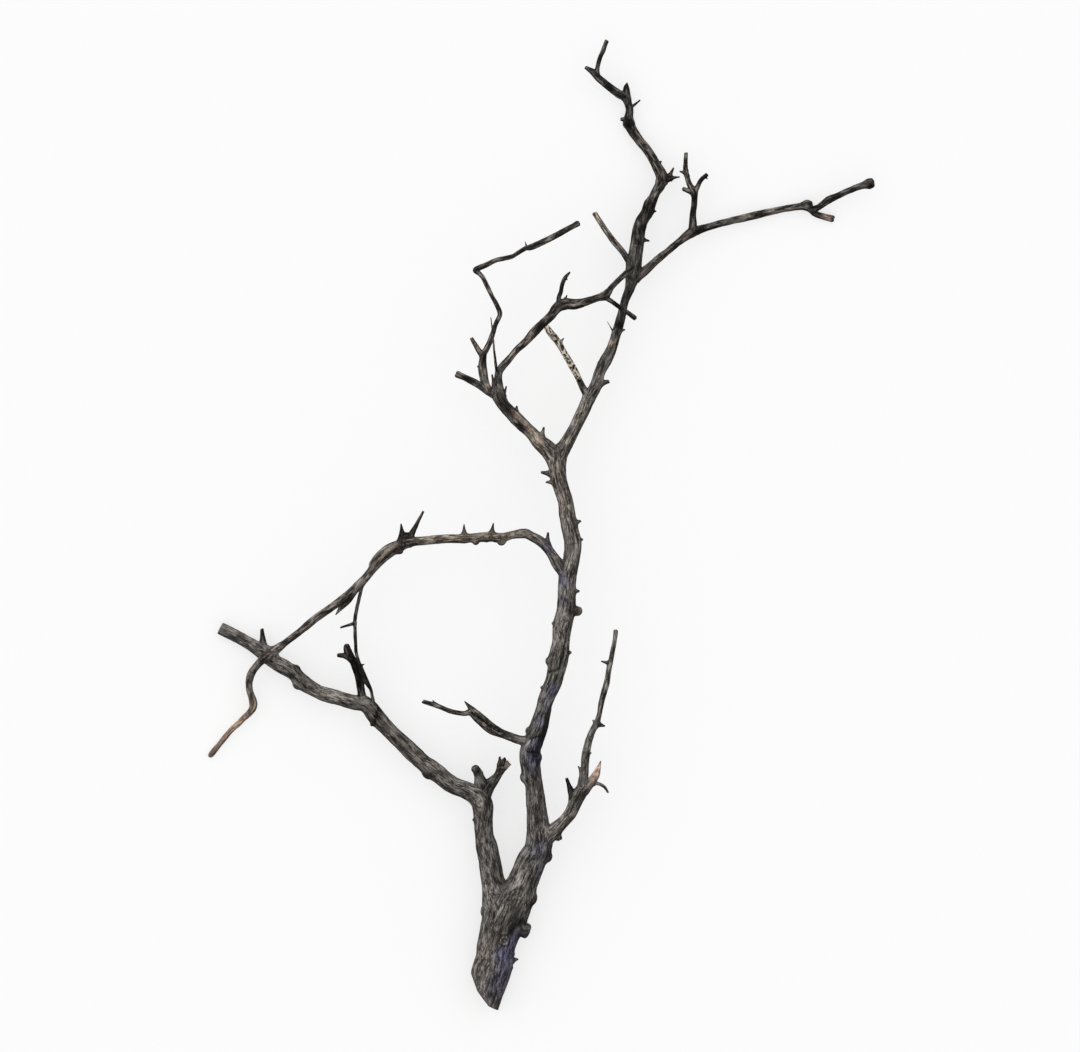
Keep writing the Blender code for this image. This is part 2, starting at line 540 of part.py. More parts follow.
def arch_limb():
    limb("arch_limb", bark(), [(ARCH, 2, 17), (ARCH_STRAND, 0, 5)], [
        spur(ARCH, (547, 546), (548, 532.8), 4.2), spur(ARCH, (490.8, 537), (493.6, 523.4), 4.4),
        spur(ARCH, (464.5, 537), (464.4, 524.4), 3.6), spur(ARCH, (405, 543), (402, 524), 6.0, 2.0, 0.2),
        spur(ARCH, (408.5, 541), (423.8, 511.6), 4.2, 3.0, 0.27), spur(ARCH, (502, 539), (503, 546.4), 4.2),
        spur(ARCH, (534, 538), (534, 544), 3.0), spur(ARCH, (476, 539), (476, 545), 3.6),
        spur(ARCH, (399, 547), (398.4, 553.4), 3.4),
    ])


def arch_tail(ground):
    body = limb("arch_tail", twig_bark(), [(ARCH, 17, 36), (HANGING, 0, 3), (TORN_STUB, 0, 4)])
    cut(body, ground)


def hanging_twig():
    limb("hanging_twig", dark_bark(), [(HANGING, 3, 14)], [
        spur(HANGING, (355, 623), (341, 627.3), 2.0, 1.0, 0.5), spur(HANGING, (360, 666), (364.5, 664), 2.0),
    ])


def stem_neck():
    limb("stem_neck", bark(), [(STEM, 29, 35), (TOP_LEFT, 0, 3), (LEADER, 0, 2)], [
        spur(TOP_LEFT, (541, 439.5), (543.8, 427.6), 4.4),
        spur(STEM, (572, 523.5), (580.4, 521.2), 5.2), spur(STEM, (576, 540), (582.6, 539.5), 4.0),
        spur(STEM, (554, 474.6), (541.6, 472.4), 5.2, 1.0, 0.3), spur(STEM, (555, 482), (546, 482.4), 4.2),
    ])


def left_top_limb():
    limb("left_top_limb", bark(), [(TOP_LEFT, 3, 8), (LEFT_TWIG, 0, 3), (ZIGZAG, 0, 2), (CROSSING, 0, 4),
                                   (DRY_SHOOT, 0, 2)], [
        spur(TOP_LEFT, (503, 399), (506.4, 386.6), 3.1),
        spur(TOP_LEFT, (516, 416), (517, 406.4), 3.6),
        spur(TOP_LEFT, (495.5, 391), (492.2, 375), 4.0, 2.0, 0.2),
    ])


def left_stub_twig():
    limb("left_stub_twig", dark_bark(), [(LEFT_TWIG, 3, 5)])


def zigzag_twig():
    limb("zigzag_twig", dark_bark(), [(ZIGZAG, 2, 25), (ZIGZAG_TWIG, 0, 2)], [
        spur(ZIGZAG, (482, 368), (477.6, 367), 2.6), spur(ZIGZAG, (527, 249), (525.2, 242.5), 1.6),
        spur(ZIGZAG, (535, 247), (537.5, 251.5), 2.4), spur(ZIGZAG, (479, 272), (474.6, 270.4), 2.0),
    ])


def crossing_limb():
    limb("crossing_limb", dark_bark(), [(CROSSING, 4, 19), (CROSSING_TWIG, 0, 3), (CROSSING_SHOOT, 0, 5)], [
        spur(CROSSING_SHOOT, (564, 278), (567.5, 281), 1.6), spur(CROSSING, (564, 301), (567.5, 294.5), 3.0),
    ])


def dry_shoot():
    limb("dry_shoot", dark_bark(), [(DRY_SHOOT, 2, 6)])


def leader_lower():
    limb("leader_lower", bark(), [(LEADER, 2, 7), (LICHEN, 0, 2)], [
        spur(LEADER, (599, 384), (608.6, 381.6), 4.2, 0.0, 0.45),
        spur(LEADER, (603.5, 366.5), (597.8, 363), 2.8),
    ])


def lichen_twig():
    limb("lichen_twig", lichen_bark(), [(LICHEN, 2, 7)], [spur(LICHEN, (560, 343), (563.6, 338.6), 2.4)])


def leader_middle():
    limb("leader_middle", bark(), [(LEADER, 7, 15), (SHORT_TWIG, 0, 2), (RIGHT_BRANCH, 0, 2)], [
        spur(LEADER, (619, 331), (625, 329.6), 3.0), spur(LEADER, (612.8, 331), (607.3, 321.5), 1.0),
    ])


def short_left_twig():
    limb("short_left_twig", twig_bark(), [(SHORT_TWIG, 2, 5)])


def leader_top(ground):
    body = limb("leader_top", dark_bark(), [(LEADER, 15, 31), (OLD_STUB, 0, 3), (TOP_STUB, 0, 3),
                                            (TOP_SIDE_TWIG, 0, 2)], [
        spur(LEADER, (641, 239), (649.4, 240.6), 3.6), spur(LEADER, (651, 211), (656.3, 210.8), 3.2),
        spur(LEADER, (661, 181), (672.6, 177.3), 4.6, 2.0, 0.6),
        spur(LEADER, (669, 179), (673.6, 167.2), 3.0, 2.0),
        spur(LEADER, (669, 178), (679.6, 176.4), 3.0, 2.0), spur(LEADER, (656, 166), (661.6, 160.6), 3.0),
        spur(LEADER, (628, 118.6), (621.2, 118), 3.4, 0.0, 0.5),
    ])
    cut(body, ground)


def leader_tip():
    limb("leader_tip", dark_bark(), [(LEADER, 31, 35), (LEADER_SHOOT, 0, 4)])


def right_branch_inner():
    limb("right_branch_inner", dark_bark(), [(RIGHT_BRANCH, 2, 6), (UPRIGHT, 0, 2)])


def upright_twig():
    limb("upright_twig", dark_bark(), [(UPRIGHT, 2, 8), (UPRIGHT_ARM, 0, 3), (UPRIGHT_STUB, 0, 1)], [
        spur(UPRIGHT, (687, 173.4), (680, 171.4), 3.2), spur(UPRIGHT_ARM, (705, 176.5), (707.6, 179), 1.6),
    ])


def right_branch_outer(ground):
    body = limb("right_branch_outer", dark_bark(), [(RIGHT_BRANCH, 6, 13), (END_TWIG, 0, 7),
                                                    (END_STUB, 0, 3)])
    cut(body, ground)


def build():
    ground = ground_cut()
    trunk(ground)
    left_limb_lower()
    left_limb_outer()
    left_limb_tip(ground)
    burnt_stub()
    stem_lower()
    right_limb()
    right_shoot()
    stem_middle()
    low_side_twig()
    stem_upper()
    arch_limb()
    arch_tail(ground)
    hanging_twig()
    stem_neck()
    left_top_limb()
    left_stub_twig()
    zigzag_twig()
    crossing_limb()
    dry_shoot()
    leader_lower()
    lichen_twig()
    leader_middle()
    short_left_twig()
    leader_top(ground)
    leader_tip()
    right_branch_inner()
    upright_twig()
    right_branch_outer(ground)
    for body in branch.objects:
        body.data.shade_smooth()
        body.data.set_sharp_from_angle(angle=SMOOTH_ANGLE)


for old in list(bpy.data.objects):
    bpy.data.objects.remove(old)
branch = new_collection("fallen_tree_branch")
cutters = new_collection("cutters")
build()
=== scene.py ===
# %% [markdown]
# # A fallen tree branch
#
# The real thing is one dead, leafless limb: a thick butt with a slanting cut, a stem that forks again and
# again, thorns, knots, torn stubs and thin dry twigs. Nothing on it is flat or round for long, so its look
# comes from two things. The first is the centre lines of its limbs, with every kink where the real one has
# it. The second is the skin round them: ridges and cracks that run along the grain, swellings at each fork,
# and broken ends. Both are worked out here as arrays of numbers and put into meshes.

# %% Load the frame
import json
import math

import bpy
import numpy as np
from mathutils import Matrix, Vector

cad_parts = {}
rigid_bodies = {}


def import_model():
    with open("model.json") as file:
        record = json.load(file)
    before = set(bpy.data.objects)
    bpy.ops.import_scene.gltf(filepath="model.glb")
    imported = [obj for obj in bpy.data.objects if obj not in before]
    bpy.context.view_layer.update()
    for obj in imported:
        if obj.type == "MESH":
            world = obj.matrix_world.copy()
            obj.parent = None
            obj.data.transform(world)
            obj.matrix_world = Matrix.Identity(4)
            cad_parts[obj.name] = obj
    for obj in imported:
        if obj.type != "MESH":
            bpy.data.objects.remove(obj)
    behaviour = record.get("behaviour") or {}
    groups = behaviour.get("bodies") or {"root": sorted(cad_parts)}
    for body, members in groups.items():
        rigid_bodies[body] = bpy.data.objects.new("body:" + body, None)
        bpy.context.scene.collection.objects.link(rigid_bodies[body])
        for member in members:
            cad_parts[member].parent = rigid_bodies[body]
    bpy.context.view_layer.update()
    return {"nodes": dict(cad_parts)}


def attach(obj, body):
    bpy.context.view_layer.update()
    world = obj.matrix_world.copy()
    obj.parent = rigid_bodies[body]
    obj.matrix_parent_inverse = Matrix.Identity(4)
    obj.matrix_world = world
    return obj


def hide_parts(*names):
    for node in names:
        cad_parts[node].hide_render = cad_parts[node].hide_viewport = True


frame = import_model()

MM = 0.001
ROOT_BODY = "root"
print("nodes to dress:", len(frame["nodes"]))

# %% [markdown]
# ## The camera
#
# The branch was photographed from straight above, so close to flat that a far camera with a long lens is the
# best match: near and far limbs keep their places against each other. The picture is 1080 points wide, and
# one point is one millimetre on the branch. So the camera stands at the distance at which 1080 mm fill it.

# %% Camera
SHEET_MIDDLE_X = 540.5      # the drawing sheet's middle, in millimetres from its left and top edges
SHEET_MIDDLE_Y = 525.9
PICTURE_WIDTH = 1080
PICTURE_HEIGHT = 1052
LENS = 300.0                # millimetres
SENSOR = 36.0
MEAN_HEIGHT = 0.03          # the limbs' mean height, at which one picture point is one millimetre

camera_data = bpy.data.cameras.new("camera")
camera_data.lens = LENS
camera_data.sensor_width = SENSOR
camera = bpy.data.objects.new("camera", camera_data)
camera.location = (
    (PICTURE_WIDTH / 2 - SHEET_MIDDLE_X) * MM,
    (SHEET_MIDDLE_Y - PICTURE_HEIGHT / 2) * MM,
    MEAN_HEIGHT + PICTURE_WIDTH * MM * LENS / SENSOR,
)
bpy.context.scene.collection.objects.link(camera)
bpy.context.scene.camera = camera
print("camera height:", round(camera.location.z, 2), "m")

# %% [markdown]
# ## Floor and light
#
# The floor is a plain pale sheet. The light is what a bright, hazy sky gives: a white world all round, and a
# wide glow from the upper left, which gives each limb a light side and a dark one. The glow throws no shadow,
# because the branch was pictured on plain white; the world's own light still darkens the ground close under
# it. The Standard view shows the colours as they are given.

# %% Floor and light
FLOOR_SIZE = 8.0
FLOOR_TONE = 0.92
FLOOR_ROUGHNESS = 0.95
SKY_STRENGTH = 0.36
KEY_FROM = (-0.38, 0.86, 0.8)   # the direction towards the glow
KEY_STRENGTH = 3.4
KEY_SPREAD = 30             # degrees of sky that the glow covers


def flat_square(name, size):
    """A square sheet on the ground round the origin."""
    half = size / 2
    corners = [(-half, -half, 0), (half, -half, 0), (half, half, 0), (-half, half, 0)]
    mesh = bpy.data.meshes.new(name)
    mesh.from_pydata(corners, [], [(0, 1, 2, 3)])
    sheet = bpy.data.objects.new(name, mesh)
    bpy.context.scene.collection.objects.link(sheet)
    return sheet


def soft_light(name, toward, strength, spread):
    """Light from one direction of the sky, spread over some degrees and without shadows."""
    light = bpy.data.lights.new(name, "SUN")
    light.energy = strength
    light.angle = math.radians(spread)
    light.use_shadow = False
    lamp = bpy.data.objects.new(name, light)
    lamp.rotation_mode = "QUATERNION"
    lamp.rotation_quaternion = Vector(toward).to_track_quat("Z", "Y")
    bpy.context.scene.collection.objects.link(lamp)
    return lamp


floor = flat_square("floor", FLOOR_SIZE)
floor_paint = bpy.data.materials.new("floor_paint")
floor_paint.use_nodes = True
floor_shader = floor_paint.node_tree.nodes["Principled BSDF"]
floor_shader.inputs["Base Color"].default_value = (FLOOR_TONE, FLOOR_TONE, FLOOR_TONE, 1.0)
floor_shader.inputs["Roughness"].default_value = FLOOR_ROUGHNESS
floor.data.materials.append(floor_paint)

sky = bpy.data.worlds.new("sky")
sky.use_nodes = True
sky.node_tree.nodes["Background"].inputs["Color"].default_value = (1.0, 1.0, 1.0, 1.0)
sky.node_tree.nodes["Background"].inputs["Strength"].default_value = SKY_STRENGTH
bpy.context.scene.world = sky
bpy.context.scene.view_settings.view_transform = "Standard"
soft_light("key", KEY_FROM, KEY_STRENGTH, KEY_SPREAD)

# %% [markdown]
# ## The limbs' centre lines
#
# A route is one limb's centre line, from its root to its tip, as stations of (x, y, height, radius). The
# places are millimetres on a full-size drawing sheet seen from above, x to the right and y down the sheet,
# and the heights are millimetres above the ground. Each list was taken from the branch: a station
# stands wherever the limb bends, swells or thins.

# %% Route: the trunk and the main stem, from the cut end to the top fork
STEM = [
    (479, 1016, 17.4, 17.8), (485, 993, 17.7, 18.3), (491.6, 970, 18.0, 18.4), (496.4, 945, 18.8, 17.9),
    (502.8, 925, 20.4, 19.2), (511.8, 903, 21.5, 19.4), (522, 885, 23.5, 14.8), (532, 861, 26.5, 13.8),
    (538, 850, 28.5, 13.0), (538.7, 835, 31.0, 12.0), (536.3, 812, 34.5, 10.1), (535.3, 797, 37.0, 9.2),
    (534, 784, 39.5, 9.0), (531, 767, 43.0, 10.1), (529.8, 753, 45.5, 10.4), (534, 740, 48.0, 10.0),
    (538.6, 727, 50.0, 9.3), (543, 712, 52.0, 8.0), (547, 697, 54.0, 8.0), (552, 684, 55.5, 8.5),
    (556, 672, 56.5, 9.0), (558.5, 660, 57.3, 10.0), (560, 650, 57.8, 9.5), (561, 640, 58.0, 8.8),
    (562.4, 625, 58.2, 9.6), (566.2, 605, 58.0, 9.0), (567, 590, 57.6, 8.8), (567.8, 575, 57.0, 9.0),
    (571, 560, 56.0, 8.5), (573, 545, 54.5, 8.8), (570.5, 530, 52.5, 8.3), (567.5, 515, 50.5, 8.0),
    (565.3, 500, 48.5, 7.3), (559, 480, 46.0, 8.0), (557, 465, 44.0, 8.8), (556.5, 453, 42.7, 9.5),
]
print("stations:", len(STEM))

# %% Route: the left limb, from inside the trunk to its sawn end
LEFT = [
    (504, 918, 20.0, 16.0), (499.5, 903, 20.6, 17.8), (493.2, 884, 21.5, 11.4), (489.2, 862, 22.5, 10.6),
    (486, 847, 22.6, 10.7), (484, 835, 22.4, 9.2), (483.5, 820, 22.0, 9.7), (483, 806, 21.6, 11.0),
    (477, 797, 21.0, 10.2), (466, 790.6, 20.5, 9.1), (453, 785.5, 20.0, 8.8), (441, 777, 19.5, 8.4),
    (432, 769, 19.0, 8.3), (419, 759, 18.7, 8.5), (401, 742, 18.5, 8.0), (388, 729, 19.0, 7.7),
    (377.4, 718, 19.5, 8.4), (366, 705.5, 20.0, 8.3), (353, 702.5, 20.0, 7.7), (340, 698.5, 19.4, 7.2),
    (325, 694.6, 18.4, 6.9), (317, 691.6, 17.6, 6.8), (304, 684, 15.8, 7.8), (293, 673.5, 14.0, 7.0),
    (283, 667, 12.3, 7.5), (275, 662.5, 11.0, 7.2), (268, 656, 9.8, 8.5), (254, 647, 8.0, 6.8),
    (239, 638.5, 6.3, 6.3), (219.4, 628.4, 5.6, 6.2),
]
RIGHT_STUB = [
    (485.5, 793, 21, 7.2), (488.8, 786, 23.5, 6.6), (493, 781, 25.5, 5.0), (497, 776, 27.5, 4.1),
    (500.2, 770, 29.5, 4.6), (503, 764.5, 31, 5.6),
]
LEFT_STUB = [
    (481, 793, 21, 5.0), (480.4, 784, 24.5, 5.6), (478.6, 775, 28, 4.8), (476.5, 769, 30.5, 3.8),
    (476.2, 766, 31.5, 2.2),
]
BURNT = [
    (363.5, 702, 21, 5.0), (361.5, 695, 25, 4.3), (359.3, 680, 30.5, 3.8), (355, 665, 35, 4.0),
    (350.5, 656, 37.5, 4.1), (347.8, 650, 39, 4.0), (346.9, 645, 40, 2.8),
]
BURNT_ARM = [(350, 658, 37, 3.4), (344, 655.5, 38, 2.7), (338, 655, 38.6, 2.0)]
print("stations:", len(LEFT), len(RIGHT_STUB), len(LEFT_STUB), len(BURNT), len(BURNT_ARM))

# %% Route: the limb that arches to the left, over the left limb and down to the ground
ARCH = [
    (567.5, 575, 57.0, 6.0), (559.5, 565.5, 59.5, 6.2), (551.2, 553.2, 62.0, 5.1),
    (541.6, 542, 65.5, 5.1), (531, 536, 68.0, 4.6), (524, 533.5, 69.5, 4.7), (512, 535, 71.0, 4.0),
    (502, 538, 72.0, 4.9), (490, 537.2, 72.8, 4.7), (470, 538, 73.0, 4.7), (455, 538.5, 72.4, 4.6),
    (440, 539.3, 71.0, 4.3), (425, 540.6, 69.0, 4.4), (412, 541.8, 66.6, 5.2), (402, 545, 64.2, 5.5),
    (390, 552, 61.2, 5.8), (380, 561, 58.0, 5.0), (370, 573, 54.6, 4.2), (361, 583, 52.0, 4.2),
    (352, 591.5, 49.5, 4.3), (343.8, 599, 47.0, 4.6), (330, 608.5, 43.6, 4.0), (315, 619, 39.5, 3.9),
    (300, 631.5, 34.8, 3.6), (285, 643, 29.8, 3.5), (276, 649.5, 27.0, 4.5), (266, 656.5, 24.4, 5.0),
    (258, 664, 21.5, 3.9), (252, 672, 18.5, 3.8), (249, 680, 16.0, 3.6), (249, 690, 13.0, 3.4),
    (252.2, 707.2, 9.0, 3.8), (240, 721.5, 6.3, 2.9), (230, 731, 4.8, 2.8), (220, 743, 3.4, 2.8),
    (211, 754.2, 2.5, 3.0), (208.6, 757, 2.3, 2.1),
]
ARCH_STRAND = [
    (405, 542, 65, 3.0), (392, 546.2, 62.6, 3.6), (381.5, 553.5, 60, 3.8), (373.5, 562.5, 57.4, 3.4),
    (371.8, 566.3, 56.4, 2.6), (370.8, 568.8, 55.8, 1.2),
]
TORN_STUB = [
    (357, 588, 50, 3.0), (351, 597, 46.5, 3.4), (344, 604.5, 43.5, 3.2), (339.5, 610, 42, 1.9),
    (336, 614.5, 41, 0.5),
]
HANGING = [
    (365, 578.5, 53.4, 2.6), (362.7, 585, 50.5, 2.3), (361, 592, 48.2, 1.9), (358, 604.6, 46, 1.9),
    (355.5, 617, 44.5, 1.9), (355.2, 626, 43.6, 1.9), (355.5, 636.5, 42.6, 1.8), (356.3, 651.5, 41, 1.7),
    (358.2, 659, 39.6, 1.8), (361.2, 668.7, 37.6, 2.6), (364.6, 678, 35.6, 3.1), (368.2, 684.5, 34, 2.3),
    (371, 690, 32.6, 1.6), (372.5, 697.4, 31, 1.6), (374, 704, 29.6, 1.5),
]
print("stations:", len(ARCH), len(ARCH_STRAND), len(TORN_STUB), len(HANGING))

# %% Route: the low side twig on the left of the stem, and its sliver
LOW_TWIG = [
    (534, 744, 48, 5.2), (526, 741, 50, 4.8), (517, 738.8, 52, 4.3), (505.3, 734.2, 54.5, 4.3),
    (492.2, 728, 57, 5.6), (480.3, 718.2, 60, 5.5), (471, 712.2, 62, 3.6), (463.5, 712.8, 63.4, 2.5),
    (450, 710.2, 65, 2.4), (437, 705, 66.6, 2.4), (423.6, 700.8, 68, 2.2),
]
LOW_SLIVER = [(478, 714, 61, 3.6), (471, 707.5, 62.6, 2.6), (465, 700.8, 64, 0.5)]
print("stations:", len(LOW_TWIG), len(LOW_SLIVER))

# %% Route: the slender right limb, its long shoot, and the torn spike
RIGHT = [
    (539, 846, 29.5, 9.0), (546, 838, 31.0, 9.0), (555, 830.3, 32.0, 7.6), (563, 822, 33.0, 6.3),
    (570, 813.5, 34.4, 6.5), (575, 803, 36.2, 6.8), (579.5, 794, 38.0, 6.9), (584, 786.5, 40, 5.8),
    (584, 782, 41.2, 4.6),
]
SHOOT = [
    (582.5, 789, 39.5, 5.6), (583.5, 780, 42, 5.2), (584.5, 770, 44.6, 4.3), (585.3, 758, 47, 4.2),
    (587.5, 745, 49, 3.7), (591.5, 732, 50.5, 3.4), (596.5, 722, 51, 3.2), (599.5, 712, 51, 2.6),
    (602.3, 697, 50.5, 3.2), (606.6, 682, 49.6, 2.9), (608.8, 670, 48.6, 2.7), (611.2, 657, 47.2, 2.5),
    (613.8, 645, 45.6, 2.3), (615.8, 630.2, 44, 2.2),
]
SPIKE = [
    (583, 790, 40, 5.5), (589.8, 783, 43, 4.8), (594.8, 776, 46, 4.1), (598, 768.5, 48, 2.6),
    (600.5, 760.7, 50, 0.5),
]
SPIKE_TWIG = [(588, 785, 42, 3.0), (595.9, 782.9, 43.4, 1.9), (603.5, 785.9, 44.4, 1.6), (608, 792, 45, 1.1)]
print("stations:", len(RIGHT), len(SHOOT), len(SPIKE), len(SPIKE_TWIG))

# %% Route: the upper left limb and what grows from it
TOP_LEFT = [
    (555, 459, 43, 9.4), (547, 448.7, 44.6, 8.3), (538.8, 441, 46.0, 7.3), (532, 433.2, 47.4, 6.8),
    (521.5, 423.5, 49.5, 7.0), (511.8, 413.8, 51.5, 6.7), (501.4, 401.4, 54, 6.5),
    (497.6, 392, 55.4, 5.6), (496.5, 388, 56, 3.6),
]
LEFT_TWIG = [
    (500, 398, 54.5, 4.8), (492.5, 394, 55.2, 4.5), (484, 388.6, 56, 4.1), (475, 383, 57, 3.6),
    (466, 378.5, 57.8, 3.2), (457.6, 374.7, 58.4, 3.4),
]
ZIGZAG = [
    (489.5, 392, 55.8, 4.4), (485.5, 384, 58, 4.5), (483.5, 376, 60.5, 4.4), (482.5, 366, 62.4, 4.1),
    (484, 355, 64, 3.2), (487, 349, 64.8, 3.0), (491, 340, 65.8, 2.6), (495.9, 325, 66.8, 2.3),
    (500.2, 315, 67, 2.5), (497, 306, 66.5, 2.3), (492, 296.5, 65.8, 2.2), (487.3, 287, 65, 2.2),
    (483.5, 279, 64.4, 2.2), (479.7, 274.5, 64, 2.3), (475.8, 270.8, 63.6, 2.7),
    (485.2, 266.4, 62.4, 2.6), (495.7, 261.2, 60.8, 2.5), (504.4, 259.2, 59.6, 2.3),
    (512.1, 257.3, 58.6, 2.2), (518.8, 253.2, 57.6, 2.2), (525.6, 249.4, 56.6, 2.3),
    (531.8, 247.8, 55.8, 3.1), (545.7, 241.3, 54, 3.2), (560, 234.1, 52, 3.1), (569.6, 228.6, 50.6, 2.8),
    (578, 223.8, 49.4, 3.3),
]
ZIGZAG_TWIG = [(482.8, 357, 63.6, 2.9), (477.5, 349, 65.5, 2.5), (472, 339.5, 67.6, 2.0)]
CROSSING = [
    (500.5, 395, 55, 5.2), (499, 386, 57, 4.4), (498.2, 378, 59, 3.9), (499.8, 370.8, 60.6, 4.0),
    (507.6, 361.4, 62, 3.6), (516.8, 350.7, 63, 3.4), (525.8, 342.5, 63.6, 3.8), (534, 333, 63.6, 4.5),
    (542.6, 324.5, 63, 4.2), (550.8, 316.6, 62, 4.5), (557.8, 308.2, 60.5, 5.5), (566, 304.5, 58.6, 6.0),
    (575, 304.5, 56.6, 5.4), (586, 302, 54, 4.0), (597, 298.5, 51.4, 3.4), (605, 295.5, 49.2, 4.3),
    (612, 287, 46, 2.9), (620, 279, 42.6, 3.0), (628, 272, 39.4, 2.9), (634, 267.5, 37, 2.4),
]
CROSSING_TWIG = [
    (603, 296.5, 49.6, 3.2), (613, 303, 47.4, 2.3), (622, 309.5, 45.8, 2.3), (635.2, 318.7, 44, 2.5),
]
CROSSING_SHOOT = [
    (560, 306, 61, 3.4), (558.8, 299, 63, 2.4), (560.8, 292.7, 64.6, 2.1), (562, 286, 66, 2.1),
    (565, 278.8, 67.4, 2.0), (569.6, 273.4, 68.4, 1.0),
]
DRY_SHOOT = [
    (499, 386, 57.4, 2.6), (497.8, 379, 62, 2.2), (496.8, 372, 65.8, 1.6), (495.5, 361, 69.4, 1.3),
    (493.8, 345, 72.4, 1.0), (492.5, 330, 73.6, 0.8), (491, 318.5, 74, 0.5),
]
print("stations:", len(TOP_LEFT), len(LEFT_TWIG), len(ZIGZAG), len(ZIGZAG_TWIG), len(CROSSING),
      len(CROSSING_TWIG), len(CROSSING_SHOOT), len(DRY_SHOOT))

# %% Route: the leader above the top fork, and its twigs
LEADER = [
    (557, 459, 43, 9.0), (567, 442, 41.2, 6.7), (575, 427.8, 39.3, 6.2), (582.4, 412.5, 37.3, 6.2),
    (587.6, 400.5, 35.5, 6.4), (596, 385, 33.2, 6.2), (600, 372, 31.4, 5.4), (605.5, 361, 30, 5.8),
    (612, 348, 28.7, 5.2), (617, 332, 27.2, 4.8), (621.5, 315, 26, 4.5), (625, 300, 25.2, 4.5),
    (630.5, 286, 24.5, 5.5), (633.4, 270, 23.8, 7.5), (635.3, 256, 23, 6.9), (636.8, 245, 22.3, 6.7),
    (638.4, 233, 21.3, 6.7), (641, 222, 20.3, 6.1), (647.3, 212, 19, 6.1), (651.2, 203.4, 17.9, 5.5),
    (655.4, 193, 16.7, 4.6), (660.6, 184, 15.8, 5.4), (662, 175, 14.6, 6.0), (656, 163, 12.6, 4.8),
    (648, 150, 10, 4.4), (638.6, 138, 7.2, 4.7), (631.4, 127, 4.3, 4.9), (629, 117, 5.4, 4.3),
    (629.6, 109, 7, 3.8), (627.6, 100, 9, 4.1), (624.6, 95.8, 10.4, 4.5), (616.8, 91.6, 12, 4.1),
    (607, 84.2, 14.4, 3.8), (598.8, 77.5, 16.6, 3.6), (593.2, 71.4, 18.4, 3.5), (586, 66.8, 20, 1.9),
]
LEADER_SHOOT = [
    (597, 73.5, 17.4, 2.9), (597.5, 67, 20, 2.4), (599.8, 58, 23.4, 2.4), (603.8, 49, 26.8, 2.3),
    (606.8, 40.9, 29.4, 2.1),
]
OLD_STUB = [(641, 226, 22, 5.0), (645.6, 212, 27, 4.5), (648, 203, 30, 4.4), (649.3, 199, 31.4, 2.6)]
TOP_STUB = [(627.5, 99, 9.6, 3.6), (626.8, 91, 12, 3.4), (626.6, 86, 13.6, 2.8), (627.2, 82.2, 14.8, 0.7)]
TOP_SIDE_TWIG = [(630, 107.5, 7.6, 1.9), (635, 103.5, 9, 1.3), (640.2, 99.3, 10.4, 0.8)]
LICHEN = [
    (589, 399, 35, 4.6), (584.6, 391, 37, 3.6), (580, 382, 39.5, 3.3), (574.5, 371, 42, 3.4),
    (566.5, 357, 45, 3.2), (558.5, 343.5, 47.6, 3.3), (550.6, 333.5, 49.4, 3.6),
    (545.3, 325.6, 50.4, 2.6),
]
SHORT_TWIG = [
    (634, 268, 24, 4.4), (628.5, 260.5, 25.4, 3.4), (622, 251, 27.2, 3.0), (612, 239, 29.6, 3.0),
    (603, 226.5, 32, 2.7), (594.5, 213.2, 34, 2.7),
]
print("stations:", len(LEADER), len(LEADER_SHOOT), len(OLD_STUB), len(TOP_STUB), len(TOP_SIDE_TWIG),
      len(LICHEN), len(SHORT_TWIG))

# %% Route: the right branch, its knot with the upright twig, and its forked end
RIGHT_BRANCH = [
    (635, 279, 24, 5.0), (648, 268, 23.6, 4.4), (660, 257.5, 22, 3.7), (671, 248.5, 19.8, 3.5),
    (680, 241, 17.8, 3.6), (692, 232.5, 15.2, 5.0), (706, 227.1, 12.6, 3.9), (727, 221.2, 9.6, 3.6),
    (746, 216.9, 7.6, 3.7), (766, 212.2, 6.2, 3.8), (785, 208, 5.8, 3.4), (800, 205.7, 6.2, 3.6),
    (807.5, 204.4, 6.8, 5.1), (812, 203.9, 7.2, 3.6),
]
END_TWIG = [
    (807, 205, 6.8, 4.0), (813, 209, 7.8, 3.9), (819, 206.5, 9.2, 3.1), (829, 199.5, 11.8, 3.6),
    (838, 195.5, 13.8, 3.2), (850, 190, 16.2, 3.2), (860, 186, 18.2, 3.4), (872.6, 182.4, 20, 4.5),
]
END_STUB = [(810, 208, 7.4, 3.4), (815.5, 212.6, 5.6, 3.3), (822, 215, 4, 3.2), (833.3, 217.8, 2.9, 3.5)]
UPRIGHT = [
    (692.5, 232, 15.4, 4.0), (693, 224, 17.6, 4.0), (693, 215, 19.8, 3.4), (694.3, 203, 22.2, 3.0),
    (694, 192, 24.4, 3.6), (689.3, 183, 26.2, 2.9), (686, 172, 28, 2.7), (685.5, 162, 29.2, 2.1),
    (686, 153.5, 30, 1.9),
]
UPRIGHT_ARM = [(694, 194, 24, 3.0), (697.3, 187, 25.2, 2.4), (701, 180, 26.2, 2.2), (707, 174.5, 27, 2.0)]
UPRIGHT_STUB = [(693, 192.5, 24.4, 2.8), (683, 188.6, 25.4, 2.0)]
print("stations:", len(RIGHT_BRANCH), len(END_TWIG), len(END_STUB), len(UPRIGHT), len(UPRIGHT_ARM),
      len(UPRIGHT_STUB))

# %% [markdown]
# ## From stations to a smooth path
#
# Straight runs between stations would look like bent wire. A Catmull-Rom curve passes through every station
# and turns smoothly on the way, so it keeps the kinks that matter and softens the rest. It is read every
# 0.8 mm, which is fine enough for the ridges of the bark.

# %% Smooth path
RING_SPACING = 0.8 * MM
THINNEST = 0.25 * MM
UP = np.array([0.0, 0.0, 1.0])


